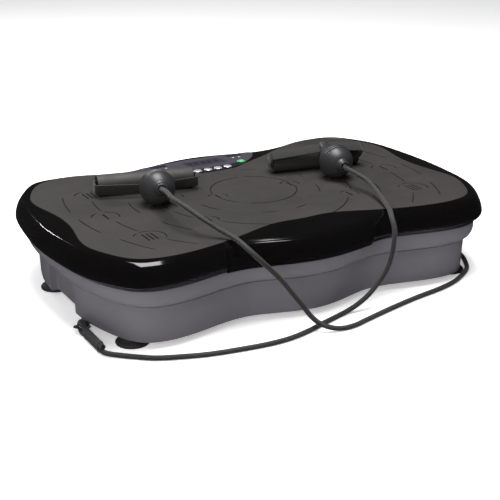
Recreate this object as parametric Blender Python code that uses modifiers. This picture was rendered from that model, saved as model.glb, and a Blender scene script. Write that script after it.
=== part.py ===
"""Vibration plate with side-to-side rocking platform, two pull bands and two band handles.

Metres, +X along the length, -Y towards the side the bands hang over, +Z up, floor at Z = 0.
"""

from math import asin, cos, hypot, pi, radians, sin, tan

import bmesh
import bpy
import numpy as np
from mathutils import Matrix, Vector

# ---- Driving dimensions ------------------------------------------------------------------
STATIONS = 80
GAP = 0.0003

# Radius from the centre at each angle from the long axis, in one quadrant of the plan.
RIM_KNOTS = (
    (0, 0.3250), (14, 0.3283), (24, 0.3340), (30.5, 0.3327), (37, 0.3257),
    (50, 0.2513), (68, 0.2091), (90, 0.2066),
)
BASE_KNOTS = (
    (0, 0.2929), (14, 0.3006), (24, 0.3063), (30.5, 0.3094), (37, 0.3002),
    (50, 0.2273), (68, 0.1879), (90, 0.1894),
)
MAT_FRONT_KNOTS = (
    (0, 0.2819), (9, 0.2901), (19, 0.3096), (27, 0.3122), (34, 0.3080),
    (46, 0.2514), (66, 0.1624), (90, 0.1435),
)
MAT_BACK_KNOTS = (
    (0, 0.2819), (9, 0.2901), (19, 0.3096), (27, 0.3122), (34, 0.3080),
    (46, 0.2440), (52, 0.1870), (60, 0.1450), (68, 0.1190), (78, 0.1060), (90, 0.1030),
)

TUB_BOTTOM = 0.0090
TUB_FLOOR = 0.0120
GROOVE_Z = 0.0596
LIP_LOW_Z = 0.0790
LIP_TOP_Z = 0.0848
RIB_TOP_Z = 0.0925
WIDEST_Z = 0.0990
CREASE_Z = 0.1228
DECK_Z = 0.1205
COVER_INNER_Z = 0.1178
MAT_BOTTOM = DECK_Z + GAP
MAT_TOP = 0.1238

PIVOT_Z = 0.072
SHAFT_RADIUS = 0.006
BORE_RADIUS = 0.0063
CRANK_X = 0.160
CRANK_Z = 0.052
ECCENTRICITY = 0.0014
MOTOR_X = 0.075
CRANK_PULLEY_RADIUS = 0.026
MOTOR_PULLEY_RADIUS = 0.009

GRIP_RADIUS = 0.0145
GRIP_BORE = 0.0110
GRIP_HALF = 0.0695
STRAP_WIDTH = 0.0150
STRAP_THICKNESS = 0.0020
BALL_RADIUS = 0.0250
TAIL_REACH = 0.0430
GRIP_Z = MAT_TOP + GAP + GRIP_RADIUS
BALL_Z = MAT_TOP + GAP + BALL_RADIUS

BAND_RADIUS = 0.0034
FOOT_RADIUS = 0.0225
RING_RADIUS = 0.0095
RING_WIRE = 0.0015

BUTTON_RADIUS = 0.0065
BUTTON_STEM = 0.0025
BUTTONS = (
    (-0.0565, 0.1308), (-0.0405, 0.1208), (-0.0240, 0.1170),
    (-0.0070, 0.1165), (0.0100, 0.1165), (0.0270, 0.1170),
)
POWER_BUTTON = (0.0590, 0.1325)

# Centre lines of the two bands, from the handle's neck to the tail of the end eye.
BAND_LEFT = (
    (-0.1518, -0.0278, 0.1554), (-0.1548, -0.0420, 0.1583), (-0.1585, -0.0600, 0.1600),
    (-0.1620, -0.0806, 0.1595), (-0.1597, -0.1069, 0.1575), (-0.1543, -0.1301, 0.1520),
    (-0.1454, -0.1460, 0.1445), (-0.1359, -0.1576, 0.1370), (-0.1276, -0.1689, 0.1312),
    (-0.1228, -0.1838, 0.1280), (-0.1200, -0.1990, 0.1236), (-0.1129, -0.2110, 0.1147),
    (-0.1036, -0.2160, 0.1042), (-0.0907, -0.2180, 0.0905), (-0.0770, -0.2190, 0.0749),
    (-0.0619, -0.2210, 0.0547), (-0.0487, -0.2245, 0.0364), (-0.0385, -0.2285, 0.0214),
    (-0.0300, -0.2354, 0.0125), (-0.0180, -0.2440, 0.0070), (-0.0020, -0.2480, 0.0040),
    (0.0170, -0.2475, 0.0036), (0.0381, -0.2415, 0.0036), (0.0682, -0.2326, 0.0036),
    (0.1095, -0.2213, 0.0036), (0.1471, -0.2125, 0.0036), (0.1930, -0.2035, 0.0036),
    (0.2265, -0.1925, 0.0036), (0.2600, -0.1730, 0.0036), (0.2765, -0.1590, 0.0036),
    (0.2880, -0.1420, 0.0038), (0.2975, -0.1240, 0.0043), (0.3010, -0.1120, 0.0048),
    (0.3015, -0.1030, 0.0050), (0.3015, -0.0560, 0.0056), (0.3015, -0.0400, 0.0038),
    (0.3015, -0.0326, 0.0112), (0.3015, -0.0400, 0.0186), (0.3015, -0.0560, 0.0126),
    (0.3015, -0.1030, 0.0120), (0.3015, -0.1110, 0.0119),
)
BAND_RIGHT = (
    (0.1322, -0.0455, 0.1491), (0.1302, -0.0580, 0.1491), (0.1318, -0.0783, 0.1470),
    (0.1345, -0.0993, 0.1430), (0.1320, -0.1226, 0.1370), (0.1249, -0.1514, 0.1312),
    (0.1140, -0.1820, 0.1275), (0.1065, -0.1985, 0.1215), (0.1044, -0.2080, 0.1100),
    (0.1019, -0.2120, 0.0970), (0.0995, -0.2125, 0.0798), (0.0955, -0.2125, 0.0654),
    (0.0904, -0.2120, 0.0537), (0.0828, -0.2110, 0.0421), (0.0738, -0.2100, 0.0314),
    (0.0635, -0.2090, 0.0214), (0.0500, -0.2075, 0.0120), (0.0330, -0.2070, 0.0050),
    (0.0107, -0.2131, 0.0036), (-0.0177, -0.2228, 0.0036), (-0.0457, -0.2330, 0.0036),
    (-0.0773, -0.2402, 0.0036), (-0.1104, -0.2411, 0.0036), (-0.1485, -0.2369, 0.0036),
    (-0.1873, -0.2303, 0.0036), (-0.2231, -0.2190, 0.0036), (-0.2514, -0.2068, 0.0036),
    (-0.2713, -0.1915, 0.0036), (-0.2860, -0.1790, 0.0038), (-0.2970, -0.1690, 0.0044),
    (-0.3010, -0.1630, 0.0049), (-0.3015, -0.1555, 0.0050), (-0.3015, -0.1085, 0.0056),
    (-0.3015, -0.0925, 0.0038), (-0.3015, -0.0851, 0.0112), (-0.3015, -0.0925, 0.0186),
    (-0.3015, -0.1085, 0.0126), (-0.3015, -0.1555, 0.0120), (-0.3015, -0.1635, 0.0119),
)
SLEEVE_RIGHT = ((0.3015, -0.1030, 0.0085), (0.3015, -0.0560, 0.0091))
SLEEVE_LEFT = ((-0.3015, -0.1555, 0.0085), (-0.3015, -0.1085, 0.0091))

# Colour, roughness, metallic.
COLOURS = {
    "gloss_black": ((0.006, 0.006, 0.007), 0.16, 0.0),
    "base_grey": ((0.085, 0.083, 0.088), 0.45, 0.0),
    "mat_rubber": ((0.085, 0.078, 0.072), 0.85, 0.0),
    "foot_rubber": ((0.020, 0.020, 0.020), 0.80, 0.0),
    "panel_grey": ((0.055, 0.050, 0.062), 0.20, 0.0),
    "display_black": ((0.010, 0.009, 0.014), 0.08, 0.0),
    "silver_plastic": ((0.620, 0.620, 0.630), 0.30, 0.6),
    "green_plastic": ((0.050, 0.420, 0.130), 0.30, 0.0),
    "webbing": ((0.014, 0.014, 0.014), 0.90, 0.0),
    "band_sheath": ((0.022, 0.021, 0.020), 0.70, 0.0),
    "grip_foam": ((0.040, 0.038, 0.036), 0.75, 0.0),
    "ball_plastic": ((0.028, 0.028, 0.030), 0.35, 0.0),
    "chrome": ((0.750, 0.750, 0.760), 0.12, 1.0),
    "clamp_grey": ((0.300, 0.295, 0.300), 0.35, 0.3),
    "zinc_steel": ((0.520, 0.520, 0.500), 0.38, 1.0),
    "painted_steel": ((0.030, 0.030, 0.032), 0.50, 0.2),
    "belt_rubber": ((0.015, 0.015, 0.015), 0.75, 0.0),
    "board_green": ((0.020, 0.120, 0.045), 0.45, 0.0),
    "inlet_black": ((0.015, 0.015, 0.015), 0.45, 0.0),
}


# ---- Scene and materials -----------------------------------------------------------------
def clear_scene():
    for obj in list(bpy.data.objects):
        bpy.data.objects.remove(obj, do_unlink=True)


def collection(name):
    found = bpy.data.collections.new(name)
    bpy.context.scene.collection.children.link(found)
    return found


def material(name):
    found = bpy.data.materials.get(name)
    if found:
        return found
    colour, roughness, metallic = COLOURS[name]
    found = bpy.data.materials.new(name)
    found.use_nodes = True
    shader = found.node_tree.nodes["Principled BSDF"]
    shader.inputs["Base Color"].default_value = (*colour, 1.0)
    shader.inputs["Roughness"].default_value = roughness
    shader.inputs["Metallic"].default_value = metallic
    return found


clear_scene()
PARTS = collection("vibration_plate")
CUTTERS = collection("cutters")
CUTTERS.hide_render = True


# ---- Building blocks ---------------------------------------------------------------------
def new_object(name, mesh, slot, place=None):
    obj = bpy.data.objects.new(name, mesh)
    if slot:
        mesh.materials.append(material(slot))
        PARTS.objects.link(obj)
    else:
        obj.hide_render = True
        obj.display_type = "WIRE"
        CUTTERS.objects.link(obj)
    if place:
        obj.matrix_world = place
    return obj


def from_bmesh(name, bm, slot, place=None):
    bmesh.ops.recalc_face_normals(bm, faces=bm.faces)
    mesh = bpy.data.meshes.new(name)
    bm.to_mesh(mesh)
    bm.free()
    return new_object(name, mesh, slot, place)


def loft(name, rings, slot):
    """Skin over rings of equal count, with a flat cap on each end."""
    bm = bmesh.new()
    skins = [[bm.verts.new(point) for point in ring] for ring in rings]
    bm.faces.new(skins[0])
    bm.faces.new(skins[-1])
    for low, high in zip(skins, skins[1:]):
        for i in range(len(low)):
            j = (i + 1) % len(low)
            bm.faces.new((low[i], low[j], high[j], high[i]))
    return from_bmesh(name, bm, slot)


def prism(name, outline, low, high, slot, place=None):
    """Outline in X and Y, extruded from Z = low to Z = high (numbers, or functions of y)."""
    bm = bmesh.new()
    bottom = low if callable(low) else lambda y: low
    top = high if callable(high) else lambda y: high
    base = bm.faces.new([bm.verts.new((x, y, bottom(y))) for x, y in outline])
    grown = bmesh.ops.extrude_face_region(bm, geom=[base])["geom"]
    for vert in grown:
        if isinstance(vert, bmesh.types.BMVert):
            vert.co.z = top(vert.co.y)
    return from_bmesh(name, bm, slot, place)


def box(name, low, high, slot, place=None):
    bm = bmesh.new()
    bmesh.ops.create_cube(bm, size=1.0)
    for vert in bm.verts:
        for axis in range(3):
            vert.co[axis] = high[axis] if vert.co[axis] > 0 else low[axis]
    return from_bmesh(name, bm, slot, place)


def lathe(name, profile, slot, place=None, steps=24, ring=False):
    """Profile of (radius, height), outer side from the top down, spun about local Z."""
    mesh = bpy.data.meshes.new(name)
    edges = [(i, i + 1) for i in range(len(profile) - 1)]
    if ring:
        edges.append((len(profile) - 1, 0))
    mesh.from_pydata([(radius, 0, height) for radius, height in profile], edges, [])
    obj = new_object(name, mesh, slot, place)
    screw = obj.modifiers.new("screw", "SCREW")
    screw.steps = steps
    screw.render_steps = steps
    screw.use_merge_vertices = True
    screw.merge_threshold = 0.00005
    return obj


def cylinder(name, radius, low, high, slot, place=None, steps=24):
    return lathe(name, ((0, high), (radius, high), (radius, low), (0, low)), slot, place, steps)


def combine(obj, other, operation):
    boolean = obj.modifiers.new(operation.lower(), "BOOLEAN")
    boolean.solver = "EXACT"
    boolean.operation = operation
    boolean.object = other


def cut(obj, *others):
    for other in others:
        combine(obj, other, "DIFFERENCE")


def join(obj, *others):
    for other in others:
        combine(obj, other, "UNION")


def at(x, y, z):
    return Matrix.Translation((x, y, z))


def along_y(x, y, z):
    """Placement whose local Z points along +Y."""
    return at(x, y, z) @ Matrix.Rotation(radians(-90), 4, "X")


def facing(origin, direction, side=(1, 0, 0)):
    """Placement with local Z along direction and local X close to side."""
    z_axis = Vector(direction).normalized()
    y_axis = z_axis.cross(Vector(side)).normalized()
    x_axis = y_axis.cross(z_axis)
    turn = Matrix((x_axis, y_axis, z_axis)).transposed().to_4x4()
    return at(*origin) @ turn


# ---- Outlines ----------------------------------------------------------------------------
def radius_curve(knots):
    """Smooth cubic through the knots, level at both ends, as a function of degrees."""
    angle = np.array([knot[0] for knot in knots], float)
    radius = np.array([knot[1] for knot in knots], float)
    count = len(knots)
    step = np.diff(angle)
    slope = np.diff(radius) / step
    matrix = np.zeros((count, count))
    target = np.zeros(count)
    matrix[0, :2] = 2 * step[0], step[0]
    matrix[-1, -2:] = step[-1], 2 * step[-1]
    target[0] = 6 * slope[0]
    target[-1] = -6 * slope[-1]
    for i in range(1, count - 1):
        matrix[i, i - 1 : i + 2] = step[i - 1], 2 * (step[i - 1] + step[i]), step[i]
        target[i] = 6 * (slope[i] - slope[i - 1])
    bend = np.linalg.solve(matrix, target)

    def radius_at(turn):
        i = min(int(np.searchsorted(angle, turn, side="right")) - 1, count - 2)
        left = angle[i + 1] - turn
        right = turn - angle[i]
        cubic = (bend[i] * left**3 + bend[i + 1] * right**3) / (6 * step[i])
        low = (radius[i] / step[i] - bend[i] * step[i] / 6) * left
        high = (radius[i + 1] / step[i] - bend[i + 1] * step[i] / 6) * right
        return cubic + low + high

    return radius_at


def plan(front_knots, back_knots=None):
    """Closed outline of STATIONS points; the back half may have its own knots."""
    front = radius_curve(front_knots)
    back = radius_curve(back_knots or front_knots)
    points = []
    for i in range(STATIONS):
        turn = 360 * i / STATIONS
        fold = min(turn % 180, 180 - turn % 180)
        radius = (back if turn < 180 else front)(fold)
        points.append(Vector((radius * cos(radians(turn)), radius * sin(radians(turn)))))
    return points


def inset(points, amount):
    moved = []
    for i, point in enumerate(points):
        along = points[(i + 1) % len(points)] - points[i - 1]
        outward = Vector((along.y, -along.x)).normalized()
        moved.append(point - outward * amount)
    return moved


def blend(first, second, share):
    return [a * share + b * (1 - share) for a, b in zip(first, second)]


def raised(points, height):
    """Ring in space; height is a number or one value per point."""
    if isinstance(height, float):
        height = [height] * len(points)
    return [Vector((point.x, point.y, z)) for point, z in zip(points, height)]


def stadium(half, radius, centre_y=0.0, steps=8):
    """Racetrack outline: straight from -half to +half in X, round ends."""
    points = []
    for i in range(steps + 1):
        turn = pi * i / steps - pi / 2
        points.append((half + radius * cos(turn), centre_y + radius * sin(turn)))
    for i in range(steps + 1):
        turn = pi * i / steps + pi / 2
        points.append((-half + radius * cos(turn), centre_y + radius * sin(turn)))
    return points


def filleted(corners, radius, steps=4):
    """Closed outline with each corner rounded by an arc."""
    points = []
    for i, corner in enumerate(corners):
        corner = Vector(corner)
        back = (Vector(corners[i - 1]) - corner).normalized()
        ahead = (Vector(corners[(i + 1) % len(corners)]) - corner).normalized()
        half = back.angle(ahead) / 2
        centre = corner + (back + ahead).normalized() * (radius / sin(half))
        start = corner + back * (radius / tan(half)) - centre
        end = corner + ahead * (radius / tan(half)) - centre
        for step in range(steps + 1):
            points.append(centre + start.lerp(end, step / steps).normalized() * radius)
    return points


def smooth_path(route, spacing):
    """Points on a Catmull-Rom curve through the route, about spacing apart, closer in the eyes."""
    points = [Vector(point) for point in route]
    ends = [2 * points[0] - points[1], *points, 2 * points[-1] - points[-2]]
    path = [points[0]]
    for before, start, end, after in zip(ends, ends[1:], ends[2:], ends[3:]):
        length = (end - start).length
        gap_in = (start - before).length
        gap_out = (after - end).length
        leave = (end - before) * (length / (length + gap_in))
        arrive = (after - start) * (length / (length + gap_out))
        fewest = 3 if 0.009 < length < 0.012 else 1
        pieces = max(fewest, round(length / spacing))
        for i in range(1, pieces + 1):
            t = i / pieces
            path.append(
                start * (2 * t**3 - 3 * t**2 + 1)
                + leave * (t**3 - 2 * t**2 + t)
                + end * (3 * t**2 - 2 * t**3)
                + arrive * (t**3 - t**2)
            )
    return path


RIM = plan(RIM_KNOTS)
BASE = plan(BASE_KNOTS)
LIP = blend(RIM, BASE, 0.55)
MAT = plan(MAT_FRONT_KNOTS, MAT_BACK_KNOTS)
CREASE = inset(RIM, 0.0119)


def crease_heights():
    """The crease sinks where the facet between it and the mat is wide."""
    heights = []
    for outer, inner in zip(CREASE, MAT):
        width = (outer - inner).length
        heights.append(CREASE_Z - min(0.0026, max(0.0, 0.06 * (width - 0.008))))
    return heights


CREASE_HEIGHTS = crease_heights()
# Outer skin of the cover from crease to lower edge: inset from the rim, share of the height.
UPPER_BEVEL = ((0.0078, 0.84), (0.0040, 0.61), (0.0012, 0.30))
LOWER_BEVEL = ((0.0, 0.0990), (0.0010, 0.0955), (0.0036, 0.0918), (0.0080, 0.0885))


def facet_z(y):
    """Height of the facet behind the mat, which falls gently to the back."""
    return 0.1236 - (y - 0.104) * 0.029


# ---- Platform: cover, mat, panel, buttons --------------------------------------------------
def make_cover():
    rings = [raised(inset(MAT, -0.0005), DECK_Z), raised(inset(MAT, -0.0005), 0.1236)]
    rings.append(raised(CREASE, CREASE_HEIGHTS))
    for amount, share in UPPER_BEVEL:
        heights = [WIDEST_Z + (top - WIDEST_Z) * share for top in CREASE_HEIGHTS]
        rings.append(raised(inset(RIM, amount), heights))
    for amount, z in LOWER_BEVEL:
        rings.append(raised(inset(RIM, amount), z))
    for amount, z in ((0.0110, 0.0885), (0.0064, 0.0935), (0.0034, 0.0990), (0.0050, 0.1070)):
        rings.append(raised(inset(RIM, amount), z))
    rings.append(raised(inset(RIM, 0.0090), 0.1130))
    rings.append(raised(inset(RIM, 0.0170), COVER_INNER_Z))
    cover = loft("cover", rings, "gloss_black")
    for i, (x, y) in enumerate(((-0.2, -0.085), (0.2, -0.085), (-0.2, 0.085), (0.2, 0.085))):
        join(cover, cylinder(f"boss_{i}", 0.006, 0.1153, 0.1190, None, at(x, y, 0), 16))
    cut(cover, prism("panel_pocket", grown_panel(GAP), lambda y: facet_z(y) - 0.0015, 0.130, None))
    for i, (x, y) in enumerate((*BUTTONS, POWER_BUTTON)):
        hole = cylinder(f"stem_hole_{i}", BUTTON_STEM + 0.0004, 0.10, 0.13, None, at(x, y, 0), 16)
        cut(cover, hole)
    return cover


def panel_outline():
    """Crescent between the mat's back waist and the back crease."""
    front = (
        (0.0, 0.1086), (0.0220, 0.1092), (0.0400, 0.1118), (0.0560, 0.1198),
        (0.0700, 0.1312), (0.0850, 0.1450), (0.0940, 0.1580), (0.0985, 0.1680),
    )
    back = ((0.0950, 0.1742), (0.0700, 0.1768), (0.0400, 0.1810))
    half = [*front, *back]
    mirrored = [(-x, y) for x, y in reversed(half[1:])]
    return [*half, (0.0, 0.1838), *mirrored]


def grown_panel(amount):
    """The crescent grown outwards by amount on every side."""
    points = [Vector(point) for point in panel_outline()]
    return [(point.x, point.y) for point in inset(points, -amount)]


def make_panel():
    panel = prism(
        "control_panel",
        panel_outline(),
        lambda y: facet_z(y) - 0.0012,
        lambda y: facet_z(y) + 0.0003,
        "panel_grey",
    )
    for i, (x, y) in enumerate((*BUTTONS, POWER_BUTTON)):
        hole = cylinder(f"cap_hole_{i}", BUTTON_RADIUS + GAP, 0.11, 0.13, None, at(x, y, 0), 16)
        cut(panel, hole)
    window = ((-0.0260, 0.1420), (0.0400, 0.1420), (0.0360, 0.1690), (-0.0260, 0.1690))
    grown = ((-0.0263, 0.1417), (0.0403, 0.1417), (0.0363, 0.1693), (-0.0263, 0.1693))
    cut(panel, prism("window_pocket", grown, lambda y: facet_z(y) - 0.0006, 0.130, None))
    prism(
        "display_window",
        window,
        lambda y: facet_z(y) - 0.0003,
        lambda y: facet_z(y) + 0.0004,
        "display_black",
    )


def make_button(name, x, y, slot):
    top = facet_z(y)
    profile = (
        (0, 0.0016), (0.0046, 0.0012), (BUTTON_RADIUS, 0.0002),
        (BUTTON_RADIUS, -0.0004), (BUTTON_STEM, -0.0004), (BUTTON_STEM, 0.1145 - top),
        (0, 0.1145 - top),
    )
    lathe(name, profile, slot, at(x, y, top), 16)


def make_mat():
    rings = [
        raised(inset(MAT, 0.0004), MAT_BOTTOM),
        raised(MAT, MAT_TOP - 0.0007),
        raised(inset(MAT, 0.0008), MAT_TOP),
    ]
    loft("tread_mat", rings, "mat_rubber")


def make_apron():
    """Middle panel of the long front side, hung on the cover and reaching below its edge."""
    section = (
        (0.0096, 0.92, -0.0002), (0.0064, 0.845, 0.0010), (0.0024, 0.62, 0.0010),
        (-0.0006, 0.32, 0.0008), (-0.0016, 0.0, 0.0), (-0.0010, -0.0050, 0.0),
        (0.0008, -0.0095, 0.0), (0.0030, -0.0135, 0.0), (0.0052, -0.0135, 0.0),
        (0.0040, -0.0094, 0.0), (0.0016, -0.0060, 0.0), (-0.0003, -0.0030, 0.0),
        (-0.0003, 0.0, 0.0), (0.0007, 0.32, 0.0), (0.0034, 0.62, 0.0), (0.0073, 0.845, 0.0),
    )
    layers = [inset(RIM, amount) for amount, _, _ in section]
    first = next(i for i, point in enumerate(RIM) if point.y < 0 and point.x > -0.138)
    last = next(i for i, point in enumerate(RIM) if point.y < 0 and point.x > 0.088)
    rings = []
    for i in range(first, last + 1):
        ring = []
        for layer, (_, share, lift) in zip(layers, section):
            if share > 0:
                z = WIDEST_Z + (CREASE_HEIGHTS[i] - WIDEST_Z) * share + lift
            else:
                z = WIDEST_Z + share
            point = layer[i]
            if i == last:
                back = min(1.0, max(0.0, (0.118 - z) / 0.034)) * 1.6
                point = layer[i] + (layer[i - 1] - layer[i]) * min(back, 0.94)
            ring.append(Vector((point.x, point.y, z)))
        rings.append(ring)
    loft("front_apron", rings, "gloss_black")


# ---- Base tub, feet, sockets ---------------------------------------------------------------
def bayed(points):
    """Inner outline pushed in behind the hand recesses of the short ends."""
    moved = []
    for point in points:
        reach = 0.2768 if abs(point.y) < 0.052 else abs(point.x)
        moved.append(Vector((max(-reach, min(reach, point.x)), point.y)))
    return moved


def make_tub():
    rings = [raised(inset(BASE, 0.0025), TUB_BOTTOM), raised(BASE, GROOVE_Z - 0.0012)]
    rings.append(raised(inset(BASE, 0.0010), GROOVE_Z - 0.0004))
    for turn in (18, 42, 66, 90):
        share = sin(radians(turn))
        z = LIP_LOW_Z - (LIP_LOW_Z - GROOVE_Z) * cos(radians(turn))
        rings.append(raised(blend(LIP, BASE, share), z))
    rings.append(raised(LIP, LIP_TOP_Z))
    rings.append(raised(inset(LIP, 0.0058), LIP_TOP_Z))
    rings.append(raised(inset(LIP, 0.0060), RIB_TOP_Z))
    rings.append(raised(inset(LIP, 0.0085), RIB_TOP_Z))
    rings.append(raised(inset(LIP, 0.0085), 0.0820))
    rings.append(raised(inset(BASE, 0.0034), 0.0660))
    rings.append(raised(bayed(inset(BASE, 0.0040)), 0.0600))
    rings.append(raised(bayed(inset(BASE, 0.0056)), TUB_FLOOR))
    tub = loft("base_tub", rings, "base_grey")
    for side in (-1, 1):
        near = min(side * 0.280, side * 0.340)
        far = max(side * 0.280, side * 0.340)
        bay = box(f"bay_{side + 1}", (near, -0.0455, -0.01), (far, 0.0455, 0.0565), None)
        cut(tub, bay)
    cut(tub, box("socket_opening", (-0.0310, 0.170, 0.0205), (0.0310, 0.210, 0.0495), None))
    return tub


def make_feet():
    profile = (
        (0, 0.0087), (0.0140, 0.0087), (0.0150, 0.0060), (0.0205, 0.0045),
        (FOOT_RADIUS, 0.0020), (FOOT_RADIUS - 0.0006, 0.0), (0.0160, 0.0), (0.0120, 0.0012),
        (0, 0.0018),
    )
    places = {
        "foot_front_left": (-0.2535, -0.1445), "foot_front_right": (0.2535, -0.1445),
        "foot_back_left": (-0.2720, 0.0760), "foot_back_right": (0.2720, 0.0760),
    }
    for name, (x, y) in places.items():
        lathe(name, profile, "foot_rubber", at(x, y, 0))


def make_power_entry():
    plate = box("socket_plate", (-0.034, 0.1763, 0.0170), (0.034, 0.1788, 0.0530), "inlet_black")
    housing = box("switch_housing", (0.0080, 0.1638, 0.0205), (0.0250, 0.1778, 0.0495), None)
    join(plate, housing)
    cut(
        plate,
        box("switch_hole", (0.0098, 0.1653, 0.0222), (0.0232, 0.1900, 0.0478), None),
        box("inlet_hole", (-0.0273, 0.1700, 0.0237), (-0.0007, 0.1900, 0.0463), None),
    )
    inlet = box("power_inlet", (-0.0270, 0.1598, 0.0240), (-0.0010, 0.1800, 0.0460), "inlet_black")
    cut(inlet, box("inlet_cavity", (-0.0250, 0.1638, 0.0265), (-0.0030, 0.1900, 0.0435), None))
    for i, (x, z) in enumerate(((-0.0205, 0.0310), (-0.0140, 0.0352), (-0.0075, 0.0310))):
        low = (x - 0.0010, 0.1618, z - 0.0020)
        join(inlet, box(f"pin_{i}", low, (x + 0.0010, 0.1758, z + 0.0020), None))
    profile = (
        (-0.0050, -0.0105), (0.0040, -0.0110), (0.0026, 0.0), (0.0040, 0.0110), (-0.0050, 0.0105),
    )
    rest = at(0.0165, 0.1768, 0.0350) @ Matrix.Rotation(radians(-7), 4, "X")
    flat = Matrix(((0, 0, 1, 0), (1, 0, 0, 0), (0, 1, 0, 0), (0, 0, 0, 1)))
    prism("power_switch", profile, -0.0060, 0.0060, "inlet_black", rest @ flat)


# ---- Mechanism -----------------------------------------------------------------------------
def make_frame():
    outline = [(point.x, point.y) for point in inset(MAT, 0.035)[::2]]
    frame = prism("platform_frame", outline, 0.1120, 0.1150, "painted_steel")
    for i, y in enumerate((-0.058, 0.058)):
        ear = ((-0.026, 0.1135), (-0.011, 0.0620), (0.011, 0.0620), (0.026, 0.1135))
        lug = prism(f"ear_{i}", ear, -0.004, 0.004, None, at(0, y, 0) @ upright())
        join(frame, lug)
        cut(frame, cylinder(f"ear_bore_{i}", 0.00635, -0.01, 0.01, None, along_y(0, y, PIVOT_Z)))
    for i, x in enumerate((-0.016, 0.016)):
        hole = cylinder(f"frame_hole_{i}", 0.0026, 0.10, 0.13, None, at(CRANK_X + x, 0, 0), 16)
        cut(frame, hole)
    return frame


def upright():
    """Turns an outline drawn in X and Y to stand in X and Z, extruded along Y."""
    return Matrix.Rotation(radians(90), 4, "X")


def make_yoke():
    outline = (
        (-0.022, 0.1117), (-0.022, 0.052), (-0.0156, 0.0364), (0.0, 0.0300), (0.0156, 0.0364),
        (0.022, 0.052), (0.022, 0.1117),
    )
    yoke = prism("drive_yoke", outline, -0.006, 0.006, "zinc_steel", at(CRANK_X, 0, 0) @ upright())
    cut(yoke, cylinder("yoke_bore", 0.0145, -0.02, 0.02, None, along_y(CRANK_X, 0, CRANK_Z)))
    for i, x in enumerate((-0.016, 0.016)):
        hole = cylinder(f"yoke_hole_{i}", 0.0026, 0.0980, 0.13, None, at(CRANK_X + x, 0, 0), 16)
        cut(yoke, hole)
        profile = (
            (0, 0.0025), (0.0042, 0.0025), (0.0045, 0.0020), (0.0045, 0.0001), (0.0023, 0.0001),
            (0.0023, -0.0140), (0, -0.0140),
        )
        name = ("yoke_screw_inner", "yoke_screw_outer")[i]
        lathe(name, profile, "zinc_steel", at(CRANK_X + x, 0, 0.1152), 16)


def make_pivot():
    cylinder("pivot_shaft", SHAFT_RADIUS, -0.105, 0.105, "zinc_steel", along_y(0, 0, PIVOT_Z))
    for name, y in (("pivot_block_front", -0.085), ("pivot_block_back", 0.085)):
        block = box(name, (-0.012, y - 0.007, 0.0151), (0.012, y + 0.007, 0.084), "painted_steel")
        cut(block, cylinder(name + "_bore", BORE_RADIUS, -0.02, 0.02, None, along_y(0, y, PIVOT_Z)))


def make_chassis():
    outline = [(point.x, point.y) for point in bayed(inset(BASE, 0.030))[::2]]
    prism("chassis_plate", outline, TUB_FLOOR + GAP, 0.0148, "zinc_steel")
    for i, (x, y) in enumerate(((-0.2, -0.085), (0.2, -0.085), (-0.2, 0.085), (0.2, 0.085))):
        profile = ((0, 0.1085), (0.0090, 0.1085), (0.0120, 0.1050), (0.0120, 0.0151), (0, 0.0151))
        lathe(f"buffer_{i + 1}", profile, "foot_rubber", at(x, y, 0), 20)


def make_crank():
    shaft = cylinder(
        "crankshaft", SHAFT_RADIUS, -0.062, 0.075, "zinc_steel", along_y(CRANK_X, 0, CRANK_Z)
    )
    centre = along_y(CRANK_X, 0, CRANK_Z + ECCENTRICITY)
    join(shaft, cylinder("eccentric", 0.0088, -0.008, 0.008, None, centre))
    for name, y in (("pillow_block_front", -0.040), ("pillow_block_back", 0.040)):
        low = (CRANK_X - 0.014, y - 0.007, 0.0151)
        block = box(name, low, (CRANK_X + 0.014, y + 0.007, 0.066), "painted_steel")
        place = along_y(CRANK_X, y, CRANK_Z)
        cut(block, cylinder(name + "_bore", BORE_RADIUS, -0.02, 0.02, None, place))
    rim = CRANK_PULLEY_RADIUS
    profile = ((BORE_RADIUS, 0.070), (rim, 0.070), (rim, 0.058), (BORE_RADIUS, 0.058))
    place = along_y(CRANK_X, 0, CRANK_Z)
    lathe("crank_pulley", profile, "painted_steel", place, ring=True)


def make_motor():
    motor = lathe(
        "motor",
        (
            (0, 0.045), (0.0285, 0.045), (0.030, 0.0435), (0.030, -0.0430), (0.0270, -0.045),
            (0, -0.045),
        ),
        "painted_steel",
        along_y(MOTOR_X, 0, CRANK_Z),
    )
    cut(motor, cylinder("motor_bore", 0.0045, 0.025, 0.060, None, along_y(MOTOR_X, 0, CRANK_Z)))
    bracket = box("motor_bracket", (0.040, 0.0453, 0.0151), (0.110, 0.0483, 0.086), "zinc_steel")
    join(bracket, box("bracket_foot", (0.040, 0.010, 0.0151), (0.110, 0.0460, 0.0181), None))
    place = along_y(MOTOR_X, 0, CRANK_Z)
    cut(bracket, cylinder("bracket_hole", 0.0065, 0.030, 0.060, None, place))
    profile = (
        (0, 0.075), (0.004, 0.075), (0.004, 0.070), (MOTOR_PULLEY_RADIUS, 0.070),
        (MOTOR_PULLEY_RADIUS, 0.058), (0.004, 0.058), (0.004, 0.027), (0, 0.027),
    )
    lathe("motor_pulley", profile, "zinc_steel", place)


def belt_outline(grow):
    """Loop round both pulleys, in X and Z about the motor axis."""
    small = MOTOR_PULLEY_RADIUS + grow
    large = CRANK_PULLEY_RADIUS + grow
    span = CRANK_X - MOTOR_X
    lean = asin((large - small) / span)
    points = []
    for i in range(15):
        turn = -(pi / 2 + lean) + (pi + 2 * lean) * i / 14
        points.append((span + large * cos(turn), large * sin(turn)))
    for i in range(9):
        turn = pi / 2 + lean + (pi - 2 * lean) * i / 8
        points.append((small * cos(turn), small * sin(turn)))
    return points


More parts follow.
